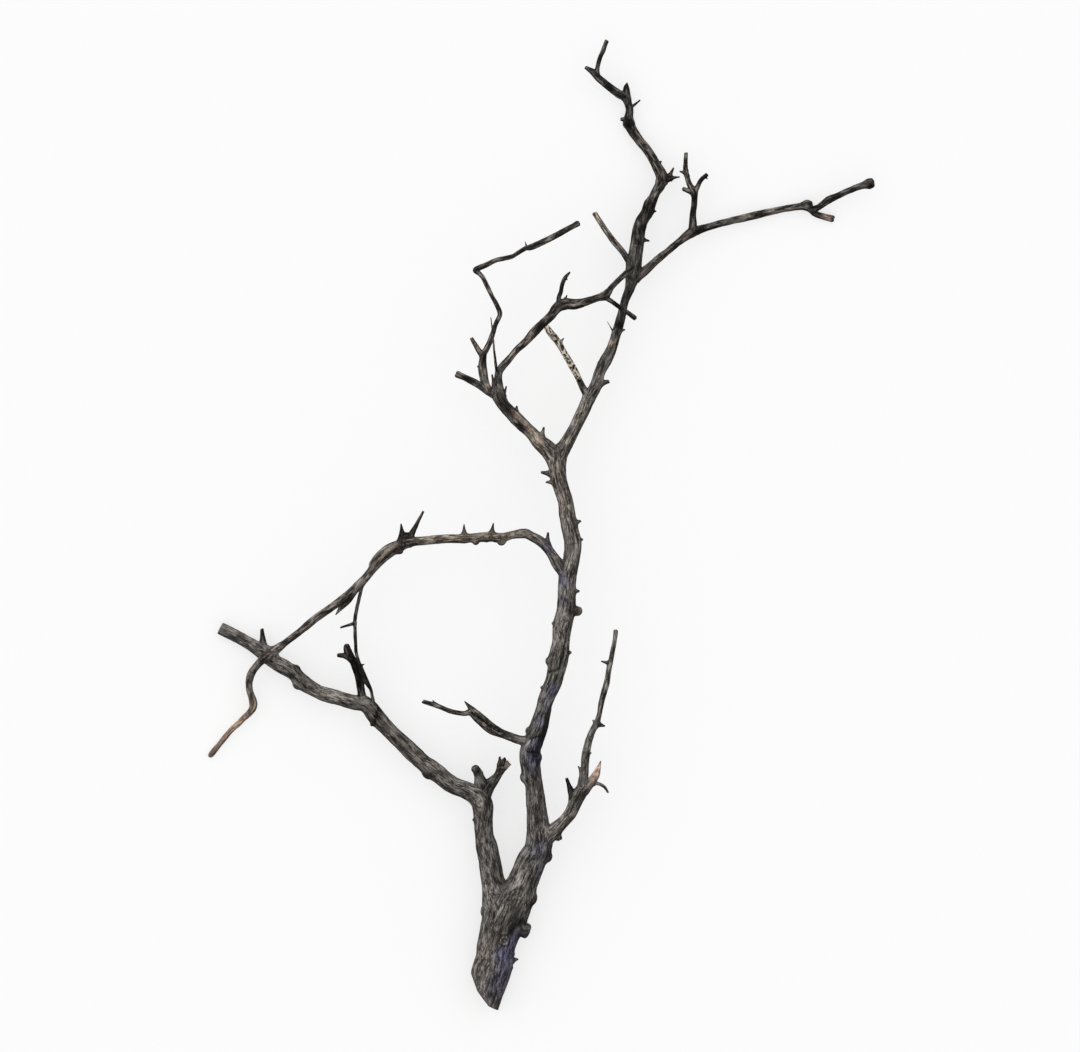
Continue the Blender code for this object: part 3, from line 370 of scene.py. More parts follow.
def unit(vectors):
    """Each vector divided by its length."""
    return vectors / np.linalg.norm(vectors, axis=-1, keepdims=True)


def on_sheet(x, y, height=0.0):
    """A place of the drawing sheet in metres of the branch's own frame."""
    return np.array([(x - SHEET_MIDDLE_X) * MM, (SHEET_MIDDLE_Y - y) * MM, height * MM])


def smooth_path(route, spacing=RING_SPACING):
    """A Catmull-Rom curve: between stations b and c it is half of
    2b + (c - a)t + (2a - 5b + 4c - d)t^2 + (3b - a - 3c + d)t^3, where a and d are the stations before and
    after. The radius runs along as a fourth coordinate."""
    stations = np.array(route, float)
    middle = (SHEET_MIDDLE_X, -SHEET_MIDDLE_Y, 0, 0)
    places = (stations * (1, -1, 1, 1) - middle) * MM
    padded = np.vstack([2 * places[0] - places[1], places, 2 * places[-1] - places[-2]])
    lengths = np.linalg.norm(np.diff(places[:, :3], axis=0), axis=1)
    counts = np.maximum(2, np.round(lengths / spacing).astype(int))
    at_station = np.concatenate([[0], np.cumsum(counts)])
    leg = np.repeat(np.arange(len(counts)), counts)
    share = (np.arange(at_station[-1]) - at_station[leg]) / counts[leg]
    leg = np.append(leg, len(counts) - 1)
    t = np.append(share, 1.0)[:, None]
    a, b, c, d = (padded[leg + number] for number in range(4))
    rings = 0.5 * (2 * b + (c - a) * t + (2 * a - 5 * b + 4 * c - d) * t**2 + (3 * b - a - 3 * c + d) * t**3)
    return rings[:, :3], np.maximum(rings[:, 3], THINNEST), at_station


# %% [markdown]
# ## A limb
#
# A limb knows its path and, at each ring, three directions: along the grain, to its side, and to its top.
# They come from the path's slope and the vertical, so they never twist, and because no limb here stands
# upright they are always defined. Thorns and knots are listed on the limb that they grow from.

# %% Limb
SKIN_STEP = 0.75 * MM       # width of one face round a limb
FEWEST_SIDES = 14
STOUT_PERCENTILE = 85       # the faces round a limb are counted at its stouter stretches


class Limb:
    """A limb's rings: centres, radii, directions, and distance from the root in metres and in radii."""

    def __init__(self, route, parent=None, end="broken", spacing=RING_SPACING):
        self.centres, self.radii, self.at_station = smooth_path(route, spacing)
        self.parent = parent
        self.end = end
        self.rows_before = 0
        self.darkness = 0.0
        self.along = unit(np.gradient(self.centres, axis=0))
        self.side = unit(np.cross(self.along, UP))
        self.top = np.cross(self.side, self.along)
        steps = np.linalg.norm(np.diff(self.centres, axis=0), axis=1)
        self.reach = np.concatenate([[0.0], np.cumsum(steps)])
        mean_radii = (self.radii[1:] + self.radii[:-1]) / 2
        self.reach_in_radii = np.concatenate([[0.0], np.cumsum(steps / mean_radii)])
        stout = np.percentile(self.radii, STOUT_PERCENTILE)
        self.sides = max(FEWEST_SIDES, int(round(2 * math.pi * stout / SKIN_STEP)))
        self.thorns = []
        self.knots = []
        self.scars = []
        self.clefts = []
        self.number = len(limbs)
        limbs.append(self)

    def ring_nearest(self, x, y):
        """The number of the ring that passes nearest to a place of the plan."""
        gaps = np.linalg.norm(self.centres[:, :2] - on_sheet(x, y)[:2], axis=1)
        return int(np.argmin(gaps))


limbs = []
stem = Limb(STEM)
left_limb = Limb(LEFT, stem, "sawn")
right_stub = Limb(RIGHT_STUB, left_limb, "torn")
left_stub = Limb(LEFT_STUB, left_limb)
burnt = Limb(BURNT, left_limb)
burnt_arm = Limb(BURNT_ARM, burnt)
arch = Limb(ARCH, stem)
arch_strand = Limb(ARCH_STRAND, arch, "torn")
torn_stub = Limb(TORN_STUB, arch, "torn")
hanging = Limb(HANGING, arch)
low_twig = Limb(LOW_TWIG, stem)
low_sliver = Limb(LOW_SLIVER, low_twig, "torn")
right_limb = Limb(RIGHT, stem)
shoot = Limb(SHOOT, right_limb)
spike = Limb(SPIKE, right_limb, "torn")
spike_twig = Limb(SPIKE_TWIG, spike)
top_left = Limb(TOP_LEFT, stem)
left_twig = Limb(LEFT_TWIG, top_left)
zigzag = Limb(ZIGZAG, top_left)
zigzag_side = Limb(ZIGZAG_TWIG, zigzag)
crossing = Limb(CROSSING, top_left)
crossing_side = Limb(CROSSING_TWIG, crossing)
crossing_shoot = Limb(CROSSING_SHOOT, crossing)
dry = Limb(DRY_SHOOT, top_left)
leader = Limb(LEADER, stem)
leader_shoot = Limb(LEADER_SHOOT, leader)
old_stub = Limb(OLD_STUB, leader, "torn")
top_stub = Limb(TOP_STUB, leader)
top_side = Limb(TOP_SIDE_TWIG, leader)
lichen_twig = Limb(LICHEN, leader)
short_twig = Limb(SHORT_TWIG, leader)
right_branch = Limb(RIGHT_BRANCH, leader)
end_twig = Limb(END_TWIG, right_branch)
end_stub = Limb(END_STUB, right_branch)
upright = Limb(UPRIGHT, right_branch)
upright_arm = Limb(UPRIGHT_ARM, upright)
upright_stub = Limb(UPRIGHT_STUB, upright)
print("limbs:", len(limbs), "metres in all:", round(sum(limb.reach[-1] for limb in limbs), 2))

# %% [markdown]
# ## Thorns and knots
#
# The tree is a thorny one. A thorn is a short limb of its own: it starts on the centre line of the limb that
# it grows from, and thins fast at first and slowly towards its tip. A knot is where a twig died and the bark
# closed over it: a round swelling, which is pushed out of the skin later.

# %% Thorns and knots
THORN_SPACING = 0.5 * MM
THORN_STATIONS = 5
THORN_TAPER = 1.4
THORN_DARKNESS = 0.55       # thorns are darker than the limbs they grow from


def thorn(limb, root, tip, thickness, lift=0.0, sharpness=0.25, darkness=THORN_DARKNESS):
    """A thorn from root to tip, both (x, y) on the plan. Its radius is thickness at the root and falls with
    the power THORN_TAPER of what is left of its length to thickness times sharpness at the tip."""
    ring = limb.ring_nearest(*root)
    height = limb.centres[ring, 2] / MM
    share = np.linspace(0, 1, THORN_STATIONS)
    radius = thickness * (sharpness + (1 - sharpness) * (1 - share) ** THORN_TAPER)
    x = root[0] + (tip[0] - root[0]) * share
    y = root[1] + (tip[1] - root[1]) * share
    grown = Limb(np.column_stack([x, y, height + lift * share, radius]), limb, "broken", THORN_SPACING)
    grown.darkness = darkness
    limb.thorns.append((ring, grown))


def knot(limb, centre, radius, lift=0.0):
    """A knot's ball of some radius in millimetres round (x, y) on the plan, on the limb's own height."""
    height = limb.centres[limb.ring_nearest(*centre), 2] / MM + lift
    limb.knots.append((on_sheet(*centre, height), radius * MM))


def total(kind):
    """How many thorns, knots, scars or clefts there are on all limbs so far."""
    return sum(len(getattr(limb, kind)) for limb in limbs)


# %% Thorns and knots of the lower limbs
thorn(stem, (514, 925.5), (527.2, 931.2), 7.9, 1.0, 0.96, 0.3)
knot(stem, (489.8, 912.6), 8.2)
knot(stem, (526.5, 897), 9.6)
thorn(stem, (509, 961), (518, 959.8), 8.2, 0.0, 0.1)
thorn(left_limb, (478, 821), (472.6, 820), 3.5)
knot(left_limb, (487, 803), 4.6)
thorn(right_stub, (499.5, 766), (499.8, 757), 2.4, 2.0, 0.5)
thorn(right_stub, (502.5, 766), (504.6, 757.6), 2.0, 3.0, 0.4)
thorn(right_stub, (505, 768), (510.4, 764), 2.2, 1.0, 0.5)
thorn(left_stub, (478, 774), (482.5, 772.5), 2.4)
thorn(left_limb, (376, 719), (370.8, 725.6), 4.5)
knot(left_limb, (430.6, 770.4), 8.6)
knot(left_limb, (439, 773.4), 6.8)
knot(left_stub, (475.4, 769), 3.7, 1.0)
knot(left_stub, (481, 782.6), 5.8)
thorn(left_limb, (263, 650), (261.5, 629.5), 5.2, 4.0, 0.33)
knot(left_limb, (294.6, 670.6), 5.2)
knot(left_limb, (298.6, 683.4), 6.0)
knot(left_limb, (272, 651), 4.5)
thorn(burnt, (354, 670), (360, 667), 2.2)
thorn(burnt, (359.5, 687), (364.5, 683), 2.4)
thorn(right_limb, (554.5, 831), (559.4, 839), 5.6, 0.0, 0.5)
knot(stem, (545, 856), 6.6)
thorn(right_limb, (573.5, 798), (566.6, 778.5), 5.4, 4.0, 0.3)
thorn(shoot, (582, 772), (578.2, 766), 3.0)
thorn(shoot, (587.2, 753.5), (591.2, 752.4), 2.4)
thorn(shoot, (598, 724), (604.6, 725.7), 3.6)
thorn(shoot, (609, 663), (601.2, 661), 2.9)
thorn(shoot, (595, 723), (592.5, 719.5), 2.2)
print("thorns:", total("thorns"), "knots:", total("knots"))

# %% Thorns and knots of the stem and the arch
knot(stem, (528, 776.5), 7.0)
knot(stem, (531, 731), 5.0)
knot(stem, (533.6, 757), 7.4)
thorn(low_twig, (499, 731), (487, 720), 2.6, 3.5, 0.6)
thorn(low_twig, (437, 704), (433, 699.5), 1.7)
thorn(stem, (546, 688), (540.8, 687), 4.0)
knot(stem, (551, 661), 5.0)
thorn(stem, (564, 653), (571, 652), 4.5)
thorn(stem, (557, 623), (552, 623), 4.0)
knot(stem, (576.4, 610.5), 5.2, 1.0)
thorn(stem, (572, 591), (579, 591), 4.6)
knot(stem, (556, 672), 5.5, 5.0)
thorn(arch, (547, 546), (548, 532.8), 4.2)
thorn(arch, (491.2, 538), (493.6, 523.4), 5.6, 0.0, 0.12)
thorn(arch, (464.5, 538), (464.4, 524.4), 4.8, 0.0, 0.12)
thorn(arch, (404, 545), (401.6, 524), 7.6, 2.0, 0.1)
knot(arch, (407.6, 539), 5.8)
thorn(arch, (408.5, 541), (423.8, 511.6), 4.2, 3.0, 0.27)
knot(arch, (501.6, 540.4), 4.5)
knot(arch, (476, 540.8), 3.7)
knot(arch, (399, 549.4), 4.4)
thorn(hanging, (355, 623), (341, 627.3), 2.0, 1.0, 0.5)
thorn(hanging, (360, 666), (364.5, 664), 2.0)
print("thorns:", total("thorns"), "knots:", total("knots"))

# %% Thorns and knots from the top fork on
thorn(top_left, (541, 439.5), (543.8, 427.6), 4.4)
thorn(stem, (572, 523.5), (580.4, 521.2), 5.2)
thorn(stem, (576, 540), (582.6, 539.5), 4.0)
thorn(stem, (554, 474.6), (541.6, 472.4), 5.2, 1.0, 0.3)
thorn(stem, (555, 482), (546, 482.4), 4.2)
thorn(top_left, (503, 399), (506.4, 386.6), 3.1)
thorn(top_left, (516, 416), (517, 406.4), 3.6)
thorn(top_left, (495.5, 391), (492.2, 375), 4.0, 2.0, 0.2)
thorn(zigzag, (482, 368), (477.6, 367), 2.6)
thorn(zigzag, (527, 249), (525.2, 242.5), 1.6)
thorn(zigzag, (479, 272), (474.6, 270.4), 2.0)
thorn(crossing_shoot, (564, 278), (567.5, 281), 1.6)
thorn(crossing, (563, 303), (567, 296), 2.4)
thorn(leader, (599, 384), (608.6, 381.6), 4.2, 0.0, 0.45)
thorn(leader, (603.5, 366.5), (597.8, 363), 2.8)
thorn(lichen_twig, (560, 343), (563.6, 338.6), 2.4)
thorn(leader, (619, 331), (625, 329.6), 3.0)
thorn(leader, (612.8, 331), (607.3, 321.5), 1.0)
thorn(leader, (641, 239), (649.4, 240.6), 3.6)
thorn(leader, (651, 211), (656.3, 210.8), 3.2)
thorn(leader, (661, 181), (672.6, 177.3), 4.6, 2.0, 0.6)
thorn(leader, (668, 179), (673.8, 167.4), 4.4, 2.0, 0.2)
thorn(leader, (669, 178), (679.6, 176.4), 3.0, 2.0)
thorn(leader, (656, 166), (661.6, 160.6), 3.0)
thorn(leader, (628, 118.6), (621.6, 118), 3.6, 0.0, 0.5)
knot(leader, (629, 122.6), 5.3)
knot(end_twig, (869.4, 183.4), 4.8)
thorn(upright, (687, 173.4), (680, 171.4), 3.2)
thorn(upright_arm, (705, 176.5), (707.6, 179), 1.6)
print("thorns:", total("thorns"), "knots:", total("knots"))

# %% [markdown]
# ## Scars
#
# Where a twig was shed long ago, the bark keeps a ring with a sunken middle and dark grooves beside it. A
# ring with a mesh of its own would float on the rough bark, so the skin itself is raised and sunk. The depth
# of the grooves is given back, because the paint darkens what lies deep: their darkness is painted shade.

# %% Scars
SCAR_HEIGHT = 0.32          # a scar ring's height as a share of its radius
SCAR_PIT = 1.2              # how deep its middle is sunk, as a share of that height


def scar(limb, centre, radius):
    """A shed twig's scar: a raised ring round (x, y) on the limb's upper side."""
    limb.scars.append((on_sheet(*centre)[:2], radius * MM))


def bell(value, middle, width):
    """exp(-((value - middle) / width)^2)"""
    return np.exp(-(((value - middle) / width) ** 2))


def push_scar(points, outward, centre, radius):
    """With the distance in radii, the ring is SCAR_HEIGHT * radius high and falls off as a bell round 1, and
    the middle is a bell SCAR_PIT times as deep. Gives back how deep the grooves at 1.55 and 0.5 are."""
    distance = np.linalg.norm(points[..., :2] - centre, axis=-1) / radius
    ring = bell(distance, 1, 0.35) - SCAR_PIT * bell(distance, 0, 0.5)
    upper = np.clip(outward[..., 2] / 0.3, 0, 1)
    points += outward * (SCAR_HEIGHT * radius * ring * upper)[..., None]
    grooves = 0.9 * bell(distance, 1.55, 0.2) + 0.6 * bell(distance, 0.5, 0.2)
    return grooves * upper


scar(stem, (504.5, 940.5), 3.6)
scar(left_limb, (480.6, 803), 3.2)
print("scars:", total("scars"))

# %% [markdown]
# ## Clefts
#
# Dead wood splits as it dries, and bark folds where limbs bend or fork. Each cleft is a straight notch that
# is pressed into the upper side of the skin along a line of the plan, and like a scar's groove it is also
# given back as a share of depth for the paint, which darkens it as painted shade.

# %% Clefts


def cleft(limb, start, stop, width, depth):
    """An open split or a fold in the limb's upper side from (x, y) to (x, y), in millimetres. Its darkness
    is painted shade.
    """
    limb.clefts.append((on_sheet(*start)[:2], on_sheet(*stop)[:2], width * MM, depth * MM))


def push_cleft(points, outward, start, stop, width, depth):
    """Sinks the points near a line by depth * exp(-(distance / width)^2). Gives back that share."""
    run = stop - start
    share = np.clip((points[..., :2] - start) @ run / (run @ run), 0, 1)
    distance = np.linalg.norm(points[..., :2] - start - share[..., None] * run, axis=-1) / width
    notch = np.exp(-distance**2) * np.clip(outward[..., 2] / 0.2, 0, 1)
    points -= outward * (depth * notch)[..., None]
    return notch


cleft(low_twig, (474, 712.6), (498.6, 730.4), 1.8, 6.0)
cleft(spike, (594.6, 777), (598.8, 766), 0.8, 1.3)
cleft(right_stub, (499, 772), (505.5, 761), 0.8, 1.2)
cleft(arch, (397, 549), (377, 566.5), 1.0, 1.4)
cleft(torn_stub, (352, 594), (341, 606), 1.0, 1.4)
cleft(stem, (511, 934), (522, 922), 2.4, 1.6)
cleft(stem, (526, 913), (533, 904), 1.8, 1.2)
cleft(stem, (500, 893), (506, 883), 1.8, 1.2)
cleft(stem, (493, 918), (497, 905), 1.2, 0.9)
cleft(stem, (515, 908), (519, 893), 1.2, 0.9)
cleft(left_limb, (374, 726), (379, 708), 1.6, 1.4)
cleft(left_limb, (489, 800), (493, 784), 1.6, 1.4)
cleft(left_limb, (494, 838), (493, 812), 1.0, 0.8)
cleft(stem, (527, 751), (541, 753.5), 1.1, 1.0)
cleft(stem, (529, 738.5), (543, 735), 1.1, 1.0)
cleft(stem, (532, 762), (539, 745), 1.0, 0.8)
cleft(stem, (548, 672), (560, 668), 1.2, 1.0)
cleft(top_left, (518.5, 426), (524, 431), 2.0, 2.4)
cleft(top_left, (504, 404), (509, 411), 1.6, 1.2)
cleft(leader, (612, 323), (625, 328), 2.6, 0.5)
cleft(burnt, (352, 662), (361, 690), 1.3, 1.8)
print("clefts:", total("clefts"))

# %% [markdown]
# ## The grain of the skin
#
# Dead bark shrinks across the grain far more than along it, so it stands in long ridges with cracks between
# them. The skin's height is a sum of random waves, each with its own cell: some radii long, and a whole
# number of cells round the limb, so that the pattern closes on itself. Wide waves make the limb lumpy, long
# narrow ones make ridges, and the deepest parts of one more wave become cracks.

# %% Waves on the skin
WAVE_SEED = 4100
SPIRAL = 0.05               # how far the grain turns round the limb over one radius of its length
LUMP_HEIGHT = 0.075         # heights as shares of the radius
RIDGE_HEIGHT = 0.08
STRAND_HEIGHT = 0.045
GRAIN_HEIGHT = 0.018
CRACK_DEPTH = 0.09


def smooth_step(t):
    """3t^2 - 2t^3, which leaves 0 and reaches 1 without a kink."""
    return t * t * (3 - 2 * t)


def waves(reach, turn, cell_length, cells_round, seed):
    """Random values from -1 to 1 on a grid of cells, blended smoothly between the cells' corners. The grid
    closes on itself round the limb."""
    rows = int(np.ceil(reach.max() / cell_length)) + 2
    corners = np.random.default_rng(WAVE_SEED + seed).uniform(-1, 1, (rows, cells_round))
    down = reach / cell_length
    across = turn / (2 * math.pi) * cells_round
    i = np.floor(down).astype(int)
    j = np.floor(across).astype(int)
    u = smooth_step(down - i)
    v = smooth_step(across - j)
    left = corners[i, j % cells_round] * (1 - u) + corners[i + 1, j % cells_round] * u
    right = corners[i, (j + 1) % cells_round] * (1 - u) + corners[i + 1, (j + 1) % cells_round] * u
    return left * (1 - v) + right * v


def relief(limb, reach_in_radii, turn):
    """The skin's height in shares of the radius: lumps, ridges, strands and grains, less the cracks. Each has
    waves of its own length in radii. A thin twig has fewer ridges, as it has fewer faces to carry them."""
    fine_cells = max(5, min(21, limb.sides // 4))
    seed = limb.number * 10
    reach = np.broadcast_to(reach_in_radii[:, None], turn.shape)
    spiral = turn + SPIRAL * reach
    lumps = LUMP_HEIGHT * waves(reach, spiral, 2.6, 4, seed)
    ridges = RIDGE_HEIGHT * (0.5 - np.abs(waves(reach, spiral, 6.0, max(4, fine_cells // 2), seed + 1)))
    strands = STRAND_HEIGHT * waves(reach, spiral, 3.0, fine_cells, seed + 2)
    cracks = waves(reach, spiral, 4.5, max(5, fine_cells * 2 // 3), seed + 3)
    grains = GRAIN_HEIGHT * waves(reach, spiral, 0.45, fine_cells, seed + 4)
    return lumps + ridges + strands + grains - CRACK_DEPTH * np.clip((cracks - 0.35) / 0.3, 0, 1)


test_turn = np.zeros((1, 1))
print("relief one radius up the butt:", round(float(relief(stem, np.ones(1), test_turn)[0, 0]), 3), "radii")

# %% [markdown]
# ## Growing together
#
# Where two limbs meet, wood fills the corner between them. Each skin is pushed outwards near its neighbour:
# at a distance d from the neighbour's surface, the push is k/4 times the square of (1 - |d|/k), and beyond k
# it is nothing. Both skins then meet in a smooth hollow instead of a knife-sharp crease.

# %% Growing together
BLEND_SHARE = 0.6
WIDEST_BLEND = 3.2 * MM
KNOT_BLEND = 0.6
CHUNK = 12000               # points that are measured at a time, to keep memory low
NEIGHBOUR_STRIDE = 2        # every second ball of a neighbour is enough


def gap_to(points, centres, radii):
    """Distance from each point to the nearest of a row of balls, less than zero inside one."""
    gaps = np.empty(len(points))
    for start in range(0, len(points), CHUNK):
        block = points[start:start + CHUNK]
        spread = block[:, None, :] - centres[None, :, :]
        gaps[start:start + CHUNK] = (np.sqrt((spread**2).sum(axis=2)) - radii).min(axis=1)
    return gaps


def push_near(points, outward, centres, radii, blend):
    """Moves the points near the row of balls outwards: blend/4 * (1 - |gap|/blend)^2."""
    margin = blend + radii.max()
    low, high = centres.min(axis=0) - margin, centres.max(axis=0) + margin
    near = ((points > low) & (points < high)).all(axis=-1)
    gaps = gap_to(points[near], centres, radii)
    share = np.clip(1 - np.abs(gaps) / blend, 0, 1)
    points[near] += outward[near] * (blend / 4 * share**2)[:, None]


def push_knot(points, outward, centre, radius):
    """Moves the points that lie in the knot's ball out to it, each on its own outward line."""
    near = np.linalg.norm(points - centre, axis=-1) < 2 * radius
    spread = points[near] - centre
    reach = (outward[near] * spread).sum(axis=-1)
    inside = reach**2 - (spread**2).sum(axis=-1) + radius**2
    push = np.clip(np.sqrt(np.clip(inside, 0, None)) - reach, 0, None)
    points[near] += outward[near] * push[:, None] * (inside > 0)[:, None]
    push_near(points, outward, centre[None, :], np.array([radius]), radius * KNOT_BLEND)


print("widest blend:", round(WIDEST_BLEND / MM, 1), "mm")

# %% [markdown]
# ## Ends
#
# A limb's end is a few more rings that close on a point. Sawn wood is flat with a worn rim, a broken twig is
# a short uneven dome, and a torn one is pulled out in splinters of unlike length.

# %% Ends
END_RINGS = 6
SPLINTER_RADII = 1.6
SPLINTER_DEPTH = {"torn": 1.3, "broken": 0.35, "sawn": 0.0}


def end_rows(limb):
    """How far past the last ring each end row lies, in radii, and how wide it is."""
    share = np.arange(1, END_RINGS + 1) / (END_RINGS + 1)
    if limb.end == "sawn":
        return 0.06 * np.sqrt(share), 1 - 0.97 * share**1.3
    return 0.42 * np.sin(share * math.pi / 2), np.cos(share * math.pi / 2) ** 0.75


def splinters(limb, reach_in_radii, turn):
    """How far the last stretch is drawn out or stops short along the grain, in radii: a narrow wave round
    the limb that grows over the last radii."""
    from_end = reach_in_radii[-1] - reach_in_radii[:, None]
    ramp = np.clip(1 - from_end / SPLINTER_RADII, 0, 1) ** 1.5
    strands = waves(np.broadcast_to(reach_in_radii[:, None], turn.shape), turn, 9.0, 9, limb.number * 10 + 7)
    return SPLINTER_DEPTH[limb.end] * ramp * (strands - 0.15)


print("torn ends:", sum(limb.end == "torn" for limb in limbs))

# %% [markdown]
# ## The hewn butt
#
# The butt was hewn off with three slanting strokes. Each stroke is a plane across the wood. A point of the
# butt's end slides up the grain until it is behind all planes, and the skin above it is squeezed up by the
# same slide, which fades out over a hand's breadth. So the end is flat and rimmed, and the bark runs on.

# %% Hewn butt
BUTT_ROWS = 9
HEWN_FADE = 70 * MM
STROKES = [((470.2, 971.5), (478, 992)), ((478, 992), (489, 1006.6)), ((489, 1006.6), (499, 1012))]
STROKE_TILT = 0.07          # how far the strokes' planes lean back, so that they show from above
HACK_MARK = 0.5 * MM        # how uneven the strokes leave the wood
HACK_CELL = 0.7             # the length of one uneven spot in radii
HACK_CELLS_ROUND = 6
HACK_SEED = 900


def slide_to_strokes(points, up_grain):
    """The slide of each point along the grain: the largest, over the planes, of its depth in front of the
    plane divided by how fast the grain runs through that plane."""
    slides = np.zeros(points.shape[:-1])
    for start, stop in STROKES:
        run = unit(on_sheet(*stop) - on_sheet(*start))
        facing = unit(np.array([run[1], -run[0], STROKE_TILT]))
        middle_height = stem.centres[0, 2]
        depth = (points - on_sheet(*start) - (0, 0, middle_height)) @ facing
        slides = np.maximum(slides, depth / -(up_grain @ facing))
    return slides


def hew(points, rows_before, up_grain, reach, place, turn):
    """Slides the butt's end to the strokes, uneven by HACK_MARK, and the skin above it by the slide of its
    own turn times (1 - reach / HEWN_FADE). The place is where each row lies in the uneven pattern."""
    end = rows_before + 1
    slides = slide_to_strokes(points[:end], up_grain)
    rows = np.broadcast_to(place[:end, None], turn[:end].shape)
    slides += HACK_MARK * waves(rows, turn[:end], HACK_CELL, HACK_CELLS_ROUND, HACK_SEED)
    fade = np.clip(1 - reach / HEWN_FADE, 0, 1)[rows_before:, None]
    points[:rows_before] += slides[:rows_before, :, None] * up_grain
    points[rows_before:] += (slides[rows_before] * fade)[..., None] * up_grain


print("strokes:", len(STROKES))

# %% [markdown]
# ## The skin of a limb
#
# The skin is a grid of points: rings down the limb, and turns round it. Each point is its ring's centre plus
# the radius, with its relief, in the direction of its turn. Beside the point goes its place in the grain:
# across the wood, and along it. The materials read that, so their streaks follow every bend.

# %% Skin
# the relief and cleft marks set how strong the painted shade in hollows is
RELIEF_SPAN = 0.12          # the height, as a share of the radius, that the paint takes as full depth
CLEFT_MARK = 1.2            # how deep a cleft looks to the paint, as a share of RELIEF_SPAN
BARENESS = {"sawn": 0.9, "torn": 0.4, "broken": 0.15}
BUTT_BARENESS = 0.75
BUTT_WIDTHS = (0.04, 0.97)  # the butt's first and last end row as shares of the radius
stem.rows_before = BUTT_ROWS


def neighbours(limb):
    """The limb that this one grows from, and the limbs and thorns that grow from this one."""
    return [other for other in limbs if other is limb.parent or other.parent is limb]


def add_details(limb, points, outward, height):
    """Pushes the limb's knots, scars and clefts into its points, then fills the corners at its neighbours.
    Gives back the height with the grooves of scars and clefts taken off."""
    for centre, radius in limb.knots:
        push_knot(points, outward, centre, radius)
    for centre, radius in limb.scars:
        height = height - RELIEF_SPAN * push_scar(points, outward, centre, radius)
    for start, stop, width, depth in limb.clefts:
        height = height - CLEFT_MARK * RELIEF_SPAN * push_cleft(points, outward, start, stop, width, depth)
    for other in neighbours(limb):
        smaller = other if other.parent is limb else limb
        blend = min(BLEND_SHARE * smaller.radii[0], WIDEST_BLEND)
        stride = NEIGHBOUR_STRIDE
        push_near(points, outward, other.centres[::stride], other.radii[::stride], blend)
    return height


def skin(limb):
    """point(s, a) = centre(s) + radius(s) * (1 + relief(s, a)) * (side(s) cos a + top(s) sin a), then drawn
    along the grain at a torn end and pushed out at knots and forks. Gives back the points, their places in
    the grain as (radius cos a, radius sin a, reach), and the marks that the paint reads."""
    ahead, end_width = end_rows(limb)
    before = limb.rows_before
    last = len(limb.radii) - 1
    rows = np.concatenate([np.zeros(before, int), np.arange(last + 1), np.full(END_RINGS, last)])
    width = np.concatenate([np.linspace(*BUTT_WIDTHS, before), np.ones(last + 1), end_width])
    past_end = np.concatenate([np.zeros(before + last + 1), ahead])
    along, side, top = limb.along[rows], limb.side[rows], limb.top[rows]
    last_radius = limb.radii[-1]
    centres = limb.centres[rows] + (past_end * last_radius)[:, None] * along
    radii = limb.radii[rows] * width
    reach_in_radii = limb.reach_in_radii[rows] + past_end
    reach = limb.reach[rows] + past_end * last_radius
    turn = np.broadcast_to(np.arange(limb.sides) / limb.sides * 2 * math.pi, (len(radii), limb.sides))
    outward = np.cos(turn)[..., None] * side[:, None] + np.sin(turn)[..., None] * top[:, None]
    height = relief(limb, reach_in_radii, turn)
    points = centres[:, None] + (radii[:, None] * (1 + height))[..., None] * outward
    if before:
        hew(points, before, along[0], reach, reach_in_radii + 3 * width, turn)
    drawn = splinters(limb, reach_in_radii, turn) * last_radius
    points += drawn[..., None] * along[:, None]
    height = add_details(limb, points, outward, height)
    grain = np.empty(points.shape)
    grain[..., 0] = np.cos(turn) * radii[:, None]
    grain[..., 1] = np.sin(turn) * radii[:, None]
    grain[..., 2] = reach[:, None]
    bare_ends = np.full(END_RINGS, BARENESS[limb.end])
    cut = np.concatenate([np.full(before, BUTT_BARENESS), np.zeros(last + 1), bare_ends])
    exposed = np.broadcast_to(cut[:, None], turn.shape)
    marks = {"exposed": exposed, "relief": np.clip(height / RELIEF_SPAN, -1, 1), "facing": outward[..., 2]}
    return points, grain, marks


for limb in limbs:
    limb.points, limb.grain, limb.marks = skin(limb)
print("points on all skins:", sum(limb.points.shape[0] * limb.points.shape[1] for limb in limbs))

# %% [markdown]
# ## Colours of dead bark
#
# Screen colours are easier to judge than light, so they are given as such and turned into light here. The
# bark is a dark grey-brown, with lighter streaks where its outer skin has weathered, almost black where it
# is wet or burnt, and pale where the wood lies bare. The same near-black is also painted as shade in cracks
# and on the sides that face down.

# %% Paint box


def colour(red, green, blue):
    """A screen colour, 0 to 255, as linear light."""
    share = np.array([red, green, blue]) / 255
    light = np.where(share <= 0.04045, share / 12.92, ((share + 0.055) / 1.055) ** 2.4)
    return (*(float(channel) for channel in light), 1.0)


